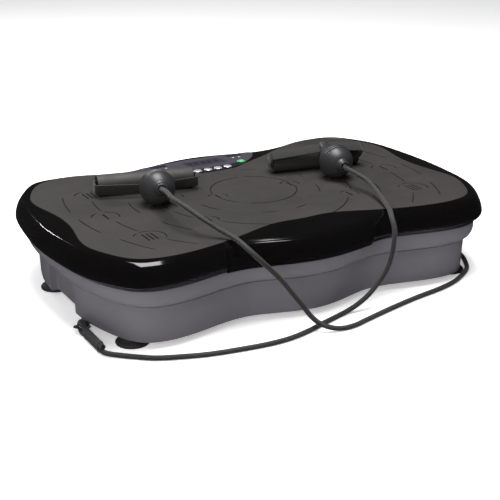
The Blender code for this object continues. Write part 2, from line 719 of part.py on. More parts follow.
def make_belt():
    place = at(MOTOR_X, 0.064, CRANK_Z) @ upright()
    belt = prism("drive_belt", belt_outline(0.0023), -0.004, 0.004, "belt_rubber", place)
    cut(belt, prism("belt_inside", belt_outline(GAP), -0.010, 0.010, None, place))


def make_boards():
    board = box("control_board", (-0.165, 0.020, 0.0215), (-0.075, 0.080, 0.0231), "board_green")
    for i, (x, y) in enumerate(((-0.160, 0.025), (-0.080, 0.025), (-0.160, 0.075), (-0.080, 0.075))):
        join(board, cylinder(f"standoff_{i}", 0.003, 0.0151, 0.0220, None, at(x, y, 0), 12))
    join(
        board,
        box("transformer", (-0.155, 0.032, 0.0225), (-0.125, 0.062, 0.0470), None),
        box("capacitor", (-0.112, 0.034, 0.0225), (-0.096, 0.050, 0.0450), None),
    )
    display = box("display_board", (-0.072, 0.110, 0.1120), (0.072, 0.168, 0.1136), "board_green")
    for i, x in enumerate((-0.050, 0.050)):
        post = cylinder(f"display_post_{i}", 0.003, 0.1128, 0.1175, None, at(x, 0.156, 0), 12)
        join(display, post)


# ---- Bands and anchors -----------------------------------------------------------------------
def tube(name, path, radius, resolution, slot, closed=False):
    curve = bpy.data.curves.new(name, "CURVE")
    curve.dimensions = "3D"
    curve.bevel_depth = radius
    curve.bevel_resolution = resolution
    curve.use_fill_caps = not closed
    spline = curve.splines.new("POLY")
    spline.points.add(len(path) - 1)
    for point, place in zip(spline.points, path):
        point.co = (*place, 1.0)
    spline.use_cyclic_u = closed
    new_object(name, curve, slot)


def make_sleeve(name, start, end):
    """Clamp round the two strands of an eye, which lie one above the other."""
    start = Vector(start)
    end = Vector(end)
    length = (end - start).length
    place = facing(start, end - start, (0, 0, 1))
    outline = stadium(0.0035, 0.0045)
    sleeve = prism(name, outline, 0.001, length - 0.001, "clamp_grey", place)
    bore = stadium(0.0035, BAND_RADIUS + 0.0004)
    cut(sleeve, prism(name + "_bore", bore, -0.01, length + 0.01, None, place))


def make_ring_and_tab(side, near, tab_length):
    """D-ring threaded through the eye, and the webbing loop that holds it under the tub."""
    label = "left" if side < 0 else "right"
    drop = 0.30
    flat = hypot(0.55, 0.835)
    level = (1 - drop**2) ** 0.5
    reach = Vector((-side * 0.55 / flat * level, 0.835 / flat * level, -drop))
    across = Vector((0.835 / flat, side * 0.55 / flat, 0))
    centre = Vector(near) + reach * RING_RADIUS
    far = Vector(near) + reach * 2 * RING_RADIUS
    flat_side = ((0.0050, 0.0095), (0.0082, 0.0088), (0.0095, 0.0072))
    outline = [(-RING_RADIUS * cos(pi * i / 12), RING_RADIUS * sin(pi * i / 12)) for i in range(-6, 7)]
    outline += [*flat_side, *[(along, -wide) for along, wide in reversed(flat_side)]]
    path = [centre + reach * along + across * wide for along, wide in outline]
    tube(f"band_ring_{label}", path, RING_WIRE, 1, "chrome", closed=True)
    heading = Vector((reach.x, reach.y, 0)).normalized()
    middle = far + heading * (tab_length / 2)
    sideways = Vector((0, 0, 1)).cross(heading)
    turn = Matrix((heading, Vector((0, 0, 1)), -sideways)).transposed().to_4x4()
    place = at(*middle) @ turn
    half = tab_length / 2
    tab = prism(f"band_tab_{label}", stadium(half, 0.0032), -0.006, 0.006, "webbing", place)
    cut(tab, prism(f"tab_slot_{label}", stadium(half, 0.0018), -0.02, 0.02, None, place))


# ---- Handles ---------------------------------------------------------------------------------
def make_handle(label, centre, heading, roll, reach, ball_x, neck_tilt):
    """Tube grip on a webbing loop, with the two-piece ball that holds the band.

    Local X is the grip axis and -Y points to the ball; roll turns the loop about the grip.
    """
    frame = at(centre[0], centre[1], GRIP_Z) @ Matrix.Rotation(radians(heading), 4, "Z")
    lying = frame @ Matrix.Rotation(radians(90), 4, "Y")
    profile = (
        (GRIP_RADIUS - 0.001, GRIP_HALF), (GRIP_RADIUS, GRIP_HALF - 0.001),
        (GRIP_RADIUS, 0.001 - GRIP_HALF), (GRIP_RADIUS - 0.001, -GRIP_HALF),
        (GRIP_BORE, -GRIP_HALF), (GRIP_BORE, GRIP_HALF),
    )
    lathe(f"{label}_grip", profile, "grip_foam", lying, 24, ring=True)

    loop = frame @ Matrix.Rotation(radians(180 - roll), 4, "X")
    end = GRIP_HALF + 0.0045
    thick = STRAP_THICKNESS / 2
    wide = STRAP_WIDTH / 2
    corners = (
        (-end, 0.0), (end, 0.0), (end, 0.0185), (ball_x + 0.016, reach), (ball_x - 0.016, reach),
        (-end, 0.0185),
    )
    middle = filleted(corners, 0.005)
    outer = inset(middle, -thick)
    inner = inset(middle, thick)
    strap = prism(f"{label}_strap", outer, -wide, wide, "webbing", loop)
    cut(strap, prism(f"{label}_strap_inside", inner, -0.02, 0.02, None, loop))

    run_y = -reach * cos(radians(roll))
    run_z = reach * sin(radians(roll))
    rise = (BALL_Z - GRIP_Z - run_z) / TAIL_REACH
    ball_y = run_y - TAIL_REACH * (1 - rise**2) ** 0.5
    ball = frame @ at(ball_x, ball_y, BALL_Z - GRIP_Z)
    forward = ball @ facing((0, 0, 0), (0, -cos(radians(neck_tilt)), sin(radians(neck_tilt))))
    backward = ball @ facing((0, 0, 0), (0, run_y - ball_y, -rise * TAIL_REACH))
    make_ball(label, forward, backward)
    slot = box(
        f"{label}_slot",
        (ball_x - 0.02, reach - 0.0014, -wide - 0.0004),
        (ball_x + 0.02, reach + 0.0014, wide + 0.0004),
        None,
        loop,
    )
    cut(bpy.data.objects[f"{label}_ball_back"], slot)


def make_ball(label, forward, backward):
    """Front dome with its neck, and back half with the tail that carries the strap."""
    dome = BALL_RADIUS - 0.0005
    profile = [(0, 0.0300), (0.0068, 0.0300), (0.0078, 0.0288), (0.0078, 0.0240)]
    for turn in (24, 40, 56, 72, 83):
        profile.append((dome * sin(radians(turn)), dome * cos(radians(turn))))
    profile += [(dome, 0.0002), (0, 0.0002)]
    lathe(f"{label}_ball_front", profile, "ball_plastic", forward)
    profile = [(0, -0.0002), (BALL_RADIUS - 0.0012, -0.0002)]
    for turn in (95, 109, 124, 140):
        profile.append((BALL_RADIUS * sin(radians(turn)), BALL_RADIUS * cos(radians(turn))))
    profile.append((0, profile[-1][1]))
    back = lathe(f"{label}_ball_back", profile, "ball_plastic", forward)
    tail = (
        (0, 0.0527), (0.0065, 0.0527), (0.0080, 0.0512), (0.0085, 0.0400), (0.0125, 0.0300),
        (0.0180, 0.0170), (0.0205, 0.0060), (0, 0.0060),
    )
    join(back, lathe(f"{label}_tail", tail, None, backward, 16))


# ---- Assembly --------------------------------------------------------------------------------
make_cover()
make_apron()
make_mat()
make_panel()
for number, (button_x, button_y) in enumerate(BUTTONS):
    make_button(f"mode_button_{number + 1}", button_x, button_y, "silver_plastic")
make_button("power_button", *POWER_BUTTON, "green_plastic")
make_tub()
make_feet()
make_power_entry()
make_chassis()
make_frame()
make_yoke()
make_pivot()
make_crank()
make_motor()
make_belt()
make_boards()
make_handle("left", (-0.134, 0.068), -12, -6, 0.027, 0.0026, 12)
make_handle("right", (0.136, 0.044), -9, 50, 0.026, 0.0102, 0)
tube("band_left", smooth_path(BAND_LEFT, 0.014), BAND_RADIUS, 2, "band_sheath")
tube("band_right", smooth_path(BAND_RIGHT, 0.014), BAND_RADIUS, 2, "band_sheath")
make_sleeve("band_sleeve_right", *SLEEVE_RIGHT)
make_sleeve("band_sleeve_left", *SLEEVE_LEFT)
make_ring_and_tab(-1, (-0.3040, -0.0940, 0.0112), 0.036)
make_ring_and_tab(1, (0.3040, -0.0415, 0.0112), 0.054)
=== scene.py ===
from math import copysign, cos, dist, pi, radians, sin, tan

import bmesh
import bpy
import numpy as np
from mathutils import Matrix, Vector


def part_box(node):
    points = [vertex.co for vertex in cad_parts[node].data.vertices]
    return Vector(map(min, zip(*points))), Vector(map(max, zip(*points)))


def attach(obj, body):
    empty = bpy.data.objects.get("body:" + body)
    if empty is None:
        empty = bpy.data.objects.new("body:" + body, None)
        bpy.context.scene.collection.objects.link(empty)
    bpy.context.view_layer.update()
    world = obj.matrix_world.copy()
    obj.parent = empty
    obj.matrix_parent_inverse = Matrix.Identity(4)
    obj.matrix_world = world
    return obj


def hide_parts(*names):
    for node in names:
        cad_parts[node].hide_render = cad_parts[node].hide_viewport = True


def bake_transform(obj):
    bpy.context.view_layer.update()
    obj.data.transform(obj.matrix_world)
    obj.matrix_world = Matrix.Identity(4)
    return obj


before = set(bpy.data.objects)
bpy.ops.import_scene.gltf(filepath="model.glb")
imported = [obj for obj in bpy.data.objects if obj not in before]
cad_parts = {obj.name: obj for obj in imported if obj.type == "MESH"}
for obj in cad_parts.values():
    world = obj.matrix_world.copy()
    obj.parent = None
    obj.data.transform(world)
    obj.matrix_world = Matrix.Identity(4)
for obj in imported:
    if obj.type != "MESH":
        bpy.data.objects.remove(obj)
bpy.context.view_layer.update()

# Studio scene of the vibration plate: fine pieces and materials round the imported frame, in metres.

# ---- Dimensions shared with the CAD ----
STATIONS = 320
# Knots are (degrees from the nearer end of X, distance from the middle).
RIM_KNOTS = (
    (0, 0.3250), (14, 0.3283), (24, 0.3340), (30.5, 0.3327), (37, 0.3257),
    (50, 0.2513), (68, 0.2091), (90, 0.2066),
)
BASE_KNOTS = (
    (0, 0.2929), (14, 0.3006), (24, 0.3063), (30.5, 0.3094), (37, 0.3002),
    (50, 0.2273), (68, 0.1879), (90, 0.1894),
)
MAT_END_KNOTS = ((0, 0.2819), (9, 0.2901), (19, 0.3096), (27, 0.3122), (34, 0.3080))
MAT_FRONT_KNOTS = (*MAT_END_KNOTS, (46, 0.2514), (66, 0.1624), (90, 0.1435))
MAT_BACK_KNOTS = (
    *MAT_END_KNOTS,
    (46, 0.2440), (52, 0.1870), (60, 0.1450), (68, 0.1190), (78, 0.1060), (90, 0.1030),
)
TUB_BOTTOM = 0.0090
TUB_FLOOR = 0.0120
GROOVE_Z = 0.0596
BAY_X = 0.280
BAY_HALF = 0.0455
BAY_TOP = 0.0565
BAY_WALL_X = 0.2768
BAY_WALL_HALF = 0.052
LIP_LOW_Z = 0.0790
LIP_TOP_Z = 0.0848
RIB_TOP_Z = 0.0925
WIDEST_Z = 0.0990
LOWEST_SHARE = 0.0238
CREASE_Z = 0.1228
CREASE_INSET = 0.0119
FACET_Z = 0.1236
FACET_START = 0.104
FACET_SLOPE = 0.029
DECK_Z = 0.1205
COVER_INNER_Z = 0.1178
MAT_BOTTOM = 0.1208
MAT_TOP = 0.1238
GAP = 0.0003

GRIP_RADIUS = 0.0145
GRIP_BORE = 0.0110
GRIP_HALF = 0.0695
BALL_RADIUS = 0.0250
TAIL_REACH = 0.0430
GRIP_Z = MAT_TOP + GAP + GRIP_RADIUS
BALL_Z = MAT_TOP + GAP + BALL_RADIUS
STRAP_WIDTH = 0.0150
STRAP_THICKNESS = 0.0020
BAND_RADIUS = 0.0034
NECK_DEPTH = 0.006
FOOT_RADIUS = 0.0225
RING_RADIUS = 0.0095
RING_WIRE = 0.0015
RING_HEADING = (0.55, 0.835)
RING_DROP = 0.30
BUTTON_RADIUS = 0.0065
BUTTON_STEM = 0.0025
BUTTONS = (
    (-0.0565, 0.1308), (-0.0405, 0.1208), (-0.0240, 0.1170),
    (-0.0070, 0.1165), (0.0100, 0.1165), (0.0270, 0.1170),
)
POWER_BUTTON = (0.0590, 0.1325)
ALL_BUTTONS = (*BUTTONS, POWER_BUTTON)
DISPLAY = ((-0.0260, 0.1420), (0.0400, 0.1420), (0.0360, 0.1690), (-0.0260, 0.1690))
DISPLAY_MIDDLE_Y = 0.1555

BAND_LEFT = (
    (-0.1518, -0.0278, 0.1554), (-0.1548, -0.0420, 0.1583), (-0.1585, -0.0600, 0.1600),
    (-0.1620, -0.0806, 0.1595), (-0.1597, -0.1069, 0.1575), (-0.1543, -0.1301, 0.1520),
    (-0.1454, -0.1460, 0.1445), (-0.1359, -0.1576, 0.1370), (-0.1276, -0.1689, 0.1312),
    (-0.1228, -0.1838, 0.1280), (-0.1200, -0.1990, 0.1236), (-0.1129, -0.2110, 0.1147),
    (-0.1036, -0.2160, 0.1042), (-0.0907, -0.2180, 0.0905), (-0.0770, -0.2190, 0.0749),
    (-0.0619, -0.2210, 0.0547), (-0.0487, -0.2245, 0.0364), (-0.0385, -0.2285, 0.0214),
    (-0.0300, -0.2354, 0.0125), (-0.0180, -0.2440, 0.0070), (-0.0020, -0.2480, 0.0040),
    (0.0170, -0.2475, 0.0036), (0.0381, -0.2415, 0.0036), (0.0682, -0.2326, 0.0036),
    (0.1095, -0.2213, 0.0036), (0.1471, -0.2125, 0.0036), (0.1930, -0.2035, 0.0036),
    (0.2265, -0.1925, 0.0036), (0.2600, -0.1730, 0.0036), (0.2765, -0.1590, 0.0036),
    (0.2880, -0.1420, 0.0038), (0.2975, -0.1240, 0.0043), (0.3010, -0.1120, 0.0048),
    (0.3015, -0.1030, 0.0050), (0.3015, -0.0560, 0.0056), (0.3015, -0.0400, 0.0038),
    (0.3015, -0.0326, 0.0112), (0.3015, -0.0400, 0.0186), (0.3015, -0.0560, 0.0126),
    (0.3015, -0.1030, 0.0120), (0.3015, -0.1110, 0.0119),
)
BAND_RIGHT = (
    (0.1322, -0.0455, 0.1491), (0.1302, -0.0580, 0.1491), (0.1318, -0.0783, 0.1470),
    (0.1345, -0.0993, 0.1430), (0.1320, -0.1226, 0.1370), (0.1249, -0.1514, 0.1312),
    (0.1140, -0.1820, 0.1275), (0.1065, -0.1985, 0.1215), (0.1044, -0.2080, 0.1100),
    (0.1019, -0.2120, 0.0970), (0.0995, -0.2125, 0.0798), (0.0955, -0.2125, 0.0654),
    (0.0904, -0.2120, 0.0537), (0.0828, -0.2110, 0.0421), (0.0738, -0.2100, 0.0314),
    (0.0635, -0.2090, 0.0214), (0.0500, -0.2075, 0.0120), (0.0330, -0.2070, 0.0050),
    (0.0107, -0.2131, 0.0036), (-0.0177, -0.2228, 0.0036), (-0.0457, -0.2330, 0.0036),
    (-0.0773, -0.2402, 0.0036), (-0.1104, -0.2411, 0.0036), (-0.1485, -0.2369, 0.0036),
    (-0.1873, -0.2303, 0.0036), (-0.2231, -0.2190, 0.0036), (-0.2514, -0.2068, 0.0036),
    (-0.2713, -0.1915, 0.0036), (-0.2860, -0.1790, 0.0038), (-0.2970, -0.1690, 0.0044),
    (-0.3010, -0.1630, 0.0049), (-0.3015, -0.1555, 0.0050), (-0.3015, -0.1085, 0.0056),
    (-0.3015, -0.0925, 0.0038), (-0.3015, -0.0851, 0.0112), (-0.3015, -0.0925, 0.0186),
    (-0.3015, -0.1085, 0.0126), (-0.3015, -0.1555, 0.0120), (-0.3015, -0.1635, 0.0119),
)
SLEEVE_RIGHT = ((0.3015, -0.1030, 0.0085), (0.3015, -0.0560, 0.0091))
SLEEVE_LEFT = ((-0.3015, -0.1555, 0.0085), (-0.3015, -0.1085, 0.0091))


# ---- Node materials ----
class Graph:
    """Short way to add and link the nodes of one material."""

    def __init__(self, name):
        self.material = bpy.data.materials.new(name)
        self.material.use_nodes = True
        self.tree = self.material.node_tree
        self.shader = self.tree.nodes["Principled BSDF"]
        self.place = self.tree.nodes.new("ShaderNodeTexCoord")

    def node(self, kind, inputs=(), **settings):
        made = self.tree.nodes.new("ShaderNode" + kind)
        for key, value in settings.items():
            setattr(made, key, value)
        for key, value in dict(inputs).items():
            self.feed(made.inputs[key], value)
        return made

    def feed(self, socket, value):
        if isinstance(value, bpy.types.NodeSocket):
            self.tree.links.new(value, socket)
        else:
            socket.default_value = value

    def math(self, operation, first, second=0.0):
        made = self.node("Math", {0: first, 1: second}, operation=operation)
        return made.outputs[0]

    def times(self, first, second):
        return self.math("MULTIPLY", first, second)

    def weighted(self, first, share, second, other_share):
        """The two values added, each times its share."""
        return self.math("ADD", self.times(first, share), self.times(second, other_share))

    def noise(self, scale, detail=3.0, roughness=0.55, stretch=None, distortion=0.0):
        vector = self.place.outputs["Object"]
        if stretch:
            vector = self.node("Mapping", {"Vector": vector, "Scale": stretch}).outputs[0]
        made = self.node("TexNoise", {
            "Vector": vector, "Scale": scale, "Detail": detail, "Roughness": roughness,
            "Distortion": distortion,
        })
        return made.outputs["Fac"]

    def cells(self, scale):
        made = self.node("TexVoronoi", {"Vector": self.place.outputs["Object"], "Scale": scale})
        return made.outputs["Distance"]

    def spread(self, value, low, high, start=0.3, end=0.7):
        made = self.node("MapRange", {
            "Value": value, "From Min": start, "From Max": end, "To Min": low, "To Max": high,
        })
        return made.outputs[0]

    def mix(self, share, first, second):
        made = self.node("Mix", data_type="RGBA")
        self.feed(made.inputs[0], share)
        self.feed(made.inputs[6], (*first, 1.0) if isinstance(first, tuple) else first)
        self.feed(made.inputs[7], (*second, 1.0) if isinstance(second, tuple) else second)
        return made.outputs[2]

    def bump(self, height, distance, strength=1.0, under=None):
        inputs = {"Height": height, "Distance": distance, "Strength": strength}
        if under is not None:
            inputs["Normal"] = under
        return self.node("Bump", inputs).outputs[0]

    def done(self, colour, roughness, normal, **constants):
        self.feed(self.shader.inputs["Base Color"], colour)
        self.feed(self.shader.inputs["Roughness"], roughness)
        self.feed(self.shader.inputs["Normal"], normal)
        for key, value in constants.items():
            self.shader.inputs[key.replace("_", " ")].default_value = value
        return self.material


def gloss_plastic(name, dark, light, roughness=0.09, specular=0.5):
    """Moulded gloss shell: faint orange peel, hairline swirls, a little dust."""
    g = Graph(name)
    cloud = g.noise(9.0, 4.0)
    dust = g.spread(g.noise(1400.0, 2.0), 0.0, 1.0, 0.66, 0.74)
    hair = g.spread(g.noise(60.0, 6.0, 0.7, (1.0, 14.0, 6.0), 1.2), 0.0, 1.0, 0.52, 0.72)
    colour = g.mix(g.times(dust, 0.10), g.mix(cloud, dark, light), (0.16, 0.155, 0.15))
    rough = g.math("ADD", g.spread(cloud, roughness - 0.025, roughness + 0.03),
                   g.times(hair, 0.05))
    normal = g.bump(g.noise(210.0, 2.0), 0.00002, 0.6)
    return g.done(colour, rough, g.bump(hair, 0.000004, 0.5, normal),
                  Specular_IOR_Level=specular)


def grained_plastic(name, dark, light, roughness, grain=1700.0, depth=0.00006, **constants):
    """Moulded plastic with a fine eroded grain, soft clouding and rubbed patches."""
    g = Graph(name)
    cloud = g.noise(14.0, 5.0)
    fine = g.noise(grain, 3.0, 0.65)
    rub = g.spread(g.noise(38.0, 6.0, 0.7), 0.0, 1.0, 0.5, 0.75)
    tone = g.weighted(cloud, 0.7, fine, 0.3)
    rough = g.math("SUBTRACT", g.spread(fine, roughness - 0.05, roughness + 0.07),
                   g.times(rub, 0.07))
    normal = g.bump(cloud, 0.0004, 0.25)
    return g.done(g.mix(tone, dark, light), rough, g.bump(fine, depth, 0.9, normal), **constants)


def mat_material():
    """Rubber sheet: fine pebble, walked-on grey dusting, slow unevenness, painted shade in the
    grooves and on the sheet's sides.
    """
    g = Graph("mat_rubber")
    cloud = g.noise(7.0, 5.0, 0.6)
    scuff = g.spread(g.noise(34.0, 7.0, 0.72, (1.0, 2.2, 1.0), 0.8), 0.0, 1.0, 0.45, 0.75)
    pebble = g.cells(1100.0)
    tone = g.math("ADD", g.spread(cloud, 0.1, 0.75), g.times(scuff, 0.25))
    # Painted shade: from half a millimetre under the top downwards, in the grooves and on the
    # sheet's sides, the colour is darkened almost to black.
    low = g.node("SeparateXYZ", {"Vector": g.place.outputs["Object"]}).outputs["Z"]
    painted_groove_shade = g.spread(low, 1.0, 0.0, MAT_TOP - 0.0005, MAT_TOP - 0.0001)
    colour = g.mix(tone, (0.019, 0.0174, 0.0158), (0.037, 0.0340, 0.0315))
    colour = g.mix(g.times(painted_groove_shade, 0.85), colour, (0.006, 0.0055, 0.005))
    rough = g.math("ADD", g.spread(cloud, 0.66, 0.80), g.times(scuff, 0.06))
    slow = g.bump(cloud, 0.0035, 0.35)
    normal = g.bump(g.noise(1500.0, 3.0), 0.00008, 0.8, g.bump(pebble, 0.00009, 0.7, slow))
    return g.done(colour, rough, normal, Specular_IOR_Level=0.25)


def foam_material():
    """Handle sleeve: closed-cell skin with small pores and worn shine."""
    g = Graph("grip_foam")
    pores = g.spread(g.cells(1300.0), 0.0, 1.0, 0.05, 0.45)
    cloud = g.noise(45.0, 4.0)
    colour = g.mix(g.times(pores, g.spread(cloud, 0.7, 1.0)),
                   (0.016, 0.015, 0.014), (0.034, 0.032, 0.030))
    rough = g.spread(cloud, 0.52, 0.72)
    return g.done(colour, rough, g.bump(pores, 0.00010, 0.6, g.bump(cloud, 0.0006, 0.3)),
                  Specular_IOR_Level=0.45)


def uv_parts(g):
    split = g.node("SeparateXYZ", {"Vector": g.place.outputs["UV"]})
    return split.outputs["X"], split.outputs["Y"]


def wave(g, value, count):
    """Sine of value, count waves for each unit of it."""
    return g.math("SINE", g.times(value, 2 * pi * count))


def sheath_material():
    """Braided cord sheath: crossing helices along the UV, u once round, v in metres."""
    g = Graph("band_sheath")
    around, along = uv_parts(g)
    left = g.weighted(around, 8.0, along, 330.0)
    right = g.math("SUBTRACT", g.times(around, 8.0), g.times(along, 330.0))
    cross = g.times(wave(g, left, 1.0), wave(g, right, 1.0))
    strands = wave(g, left, 3.0)
    lift = g.math("ADD", g.spread(cross, 0.0, 1.0, -0.9, 0.9), g.times(strands, 0.12))
    fuzz = g.noise(2600.0, 3.0)
    colour = g.mix(g.weighted(lift, 0.75, fuzz, 0.25),
                   (0.005, 0.0047, 0.0045), (0.030, 0.028, 0.027))
    return g.done(colour, g.spread(lift, 0.62, 0.46, 0.0, 1.0),
                  g.bump(lift, 0.00035, 0.8, g.bump(fuzz, 0.00008, 0.6)),
                  Specular_IOR_Level=0.5, Sheen_Weight=0.15, Sheen_Roughness=0.4)


def webbing_material():
    """Flat woven strap: u across and v along, both in metres."""
    g = Graph("webbing")
    across, along = uv_parts(g)
    ribs = wave(g, across, 620.0)
    picks = wave(g, g.math("ADD", along, g.times(across, 0.6)), 430.0)
    lift = g.spread(g.times(ribs, picks), 0.0, 1.0, -1.0, 1.0)
    fuzz = g.noise(2200.0, 3.0)
    colour = g.mix(g.weighted(lift, 0.7, fuzz, 0.3),
                   (0.004, 0.004, 0.004), (0.017, 0.016, 0.016))
    return g.done(colour, g.spread(fuzz, 0.62, 0.82),
                  g.bump(lift, 0.00022, 0.9, g.bump(fuzz, 0.00010, 0.6)),
                  Specular_IOR_Level=0.4, Sheen_Weight=0.2, Sheen_Roughness=0.5)


def metal_material(name, dark, light, roughness):
    """Plated or rolled steel with fine directional scratches."""
    g = Graph(name)
    lines = g.noise(500.0, 5.0, 0.6, (1.0, 1.0, 12.0))
    cloud = g.noise(30.0, 4.0)
    rough = g.math("ADD", g.spread(lines, roughness - 0.04, roughness + 0.08),
                   g.times(cloud, 0.06))
    return g.done(g.mix(cloud, dark, light), rough, g.bump(lines, 0.00002, 0.6), Metallic=1.0)


# Dark and light colour, then roughness and specular level where they aren't the usual ones.
GLOSS = {
    "gloss_black": ((0.0012, 0.0010, 0.0010), (0.0026, 0.0022, 0.0022)),
    "panel_grey": ((0.045, 0.041, 0.052), (0.066, 0.060, 0.075), 0.14, 0.4),
    "panel_dark": ((0.014, 0.011, 0.018), (0.022, 0.018, 0.027), 0.12),
    "display_black": ((0.030, 0.026, 0.040), (0.042, 0.037, 0.054), 0.08),
}
# Dark and light colour, roughness, then grain count and grain depth.
GRAINED = {
    "base_grey": ((0.090, 0.084, 0.097), (0.118, 0.111, 0.126), 0.40),
    "clamp_grey": ((0.030, 0.030, 0.031), (0.046, 0.045, 0.047), 0.34),
    "green_plastic": ((0.030, 0.36, 0.10), (0.060, 0.47, 0.16), 0.26, 2600.0, 0.00002),
    "print_white": ((0.50, 0.49, 0.53), (0.62, 0.61, 0.65), 0.45, 3000.0, 0.00001),
    "painted_steel": ((0.022, 0.022, 0.024), (0.040, 0.040, 0.042), 0.46, 500.0, 0.00008),
    "board_green": ((0.012, 0.085, 0.030), (0.025, 0.140, 0.050), 0.40, 800.0, 0.00005),
    "inlet_black": ((0.010, 0.010, 0.010), (0.022, 0.022, 0.022), 0.40, 1500.0, 0.00005),
    "foot_rubber": ((0.012, 0.012, 0.012), (0.030, 0.029, 0.028), 0.70, 900.0, 0.00010),
    "belt_rubber": ((0.010, 0.010, 0.010), (0.022, 0.022, 0.022), 0.70, 900.0, 0.00010),
}
MATERIALS = {
    "mat_rubber": mat_material(),
    "webbing": webbing_material(),
    "band_sheath": sheath_material(),
    "grip_foam": foam_material(),
    "chrome": metal_material("chrome", (0.70, 0.70, 0.71), (0.82, 0.82, 0.83), 0.10),
    "zinc_steel": metal_material("zinc_steel", (0.48, 0.48, 0.46), (0.60, 0.60, 0.57), 0.34),
    "silver_plastic": grained_plastic(
        "silver_plastic", (0.55, 0.55, 0.57), (0.70, 0.70, 0.71), 0.28, 2600.0, 0.00002,
        Metallic=0.55),
    "ball_plastic": grained_plastic(
        "ball_plastic", (0.017, 0.017, 0.018), (0.029, 0.029, 0.031), 0.40, 1200.0, 0.00003,
        Coat_Weight=0.05, Coat_Roughness=0.3),
}
for slot_name, looks in GLOSS.items():
    MATERIALS[slot_name] = gloss_plastic(slot_name, *looks)
for slot_name, looks in GRAINED.items():
    MATERIALS[slot_name] = grained_plastic(slot_name, *looks)


# ---- Piece building ----
def shaded(obj, look, sharp):
    """The look and smooth shading, apart from edges sharper than so many degrees."""
    dress(obj, look)
    for face in obj.data.polygons:
        face.use_smooth = True
    obj.data.set_sharp_from_angle(angle=radians(sharp))


def dress(obj, look):
    obj.data.materials.clear()
    obj.data.materials.append(MATERIALS[look])


def finished(obj, slot, body, nodes=(), look=None, sharp=35.0):
    """Smooth shading, material, body and the CAD nodes that the piece stands for."""
    shaded(obj, look or slot, sharp)
    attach(obj, body)
    if nodes:
        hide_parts(*nodes)
    return obj


def linked(name, data):
    """New object of the scene with this mesh, light or camera."""
    obj = bpy.data.objects.new(name, data)
    bpy.context.scene.collection.objects.link(obj)
    return obj


def from_bmesh(name, bm, place=None):
    bmesh.ops.recalc_face_normals(bm, faces=bm.faces)
    mesh = bpy.data.meshes.new(name)
    bm.to_mesh(mesh)
    bm.free()
    if place:
        mesh.transform(place)
    return linked(name, mesh)


def loft(name, rings, place=None, looped=False):
    """Skin over rings of equal count: capped, or joined end to start."""
    bm = bmesh.new()
    skins = [[bm.verts.new(point) for point in ring] for ring in rings]
    pairs = list(zip(skins, skins[1:]))
    if looped:
        pairs.append((skins[-1], skins[0]))
    else:
        bm.faces.new(skins[0])
        bm.faces.new(skins[-1])
    for low, high in pairs:
        for i in range(len(low)):
            j = (i + 1) % len(low)
            bm.faces.new((low[i], low[j], high[j], high[i]))
    return from_bmesh(name, bm, place)


def prism(name, outline, low, high, place=None, edge=0.0):
    """Outline in X and Y from Z = low to high (numbers or functions of y), edges eased."""
    bottom = low if callable(low) else lambda y: low
    top = high if callable(high) else lambda y: high
    flat = [Vector((x, y)) for x, y in outline]
    if area_of(flat) < 0:
        flat.reverse()
    eased = inset(flat, edge) if edge else flat
    rings = [[(p.x, p.y, bottom(p.y)) for p in eased]]
    if edge:
        rings.append([(p.x, p.y, bottom(p.y) + edge) for p in flat])
        rings.append([(p.x, p.y, top(p.y) - edge) for p in flat])
    rings.append([(p.x, p.y, top(p.y)) for p in eased])
    return loft(name, rings, place)


def area_of(points):
    return sum(a.x * b.y - b.x * a.y for a, b in zip(points, points[1:] + points[:1]))


def block(name, low, high, edge=0.0, place=None, segments=2):
    bm = bmesh.new()
    bmesh.ops.create_cube(bm, size=1.0)
    for vert in bm.verts:
        for axis in range(3):
            vert.co[axis] = high[axis] if vert.co[axis] > 0 else low[axis]
    if edge:
        bmesh.ops.bevel(bm, geom=bm.edges[:], offset=edge, segments=segments, affect="EDGES",
                        profile=0.5)
    return from_bmesh(name, bm, place)


def lathe(name, profile, place=None, steps=64, hollow=False):
    """Profile of (radius, height) spun about local Z; its ends lie on the axis unless hollow."""
    bm = bmesh.new()
    columns = []
    for k in range(steps):
        turn = 2 * pi * k / steps
        column = []
        for i, (radius, height) in enumerate(profile):
            if radius < 1e-7 and k:
                column.append(columns[0][i])
            else:
                column.append(bm.verts.new((radius * cos(turn), radius * sin(turn), height)))
        columns.append(column)
    spans = list(zip(range(len(profile)), range(1, len(profile))))
    if hollow:
        spans.append((len(profile) - 1, 0))
    for k in range(steps):
        here, there = columns[k], columns[(k + 1) % steps]
        for i, j in spans:
            corners = []
            for vert in (here[i], there[i], there[j], here[j]):
                if vert not in corners:
                    corners.append(vert)
            if len(corners) > 2:
                bm.faces.new(corners)
    return from_bmesh(name, bm, place)


def rounded(profile, radius, steps=4, closed=False):
    """Line of 2-D points with its inner corners rounded."""
    points = [Vector(point) for point in profile]
    count = len(points)
    made = []
    for i, corner in enumerate(points):
        if not closed and i in (0, count - 1):
            made.append(corner)
            continue
        back = points[i - 1] - corner
        ahead = points[(i + 1) % count] - corner
        reach = min(radius, back.length * 0.45, ahead.length * 0.45)
        start = corner + back.normalized() * reach
        end = corner + ahead.normalized() * reach
        for step in range(steps + 1):
            t = step / steps
            made.append(start * (1 - t) ** 2 + corner * (2 * t * (1 - t)) + end * t**2)
    return made


def round_cutters(name, places, radius, steps=40, low=0.11, high=0.13):
    """Upright cylinders from low to high, one at each (x, y)."""
    profile = ((0, low), (radius, low), (radius, high), (0, high))
    return [lathe(f"{name}_{i}", profile, at(x, y, 0), steps) for i, (x, y) in enumerate(places)]


def baked(obj, *cutters, operation="DIFFERENCE"):
    """The piece with the cutters taken away (or joined on) for good."""
    for cutter in cutters:
        change = obj.modifiers.new("cut", "BOOLEAN")
        change.solver = "EXACT"
        change.operation = operation
        change.object = cutter
    view = bpy.context.evaluated_depsgraph_get()
    mesh = bpy.data.meshes.new_from_object(obj.evaluated_get(view))
    obj.modifiers.clear()
    obj.data = mesh
    for cutter in cutters:
        bpy.data.objects.remove(cutter)
    return obj


def at(x, y, z):
    return Matrix.Translation((x, y, z))


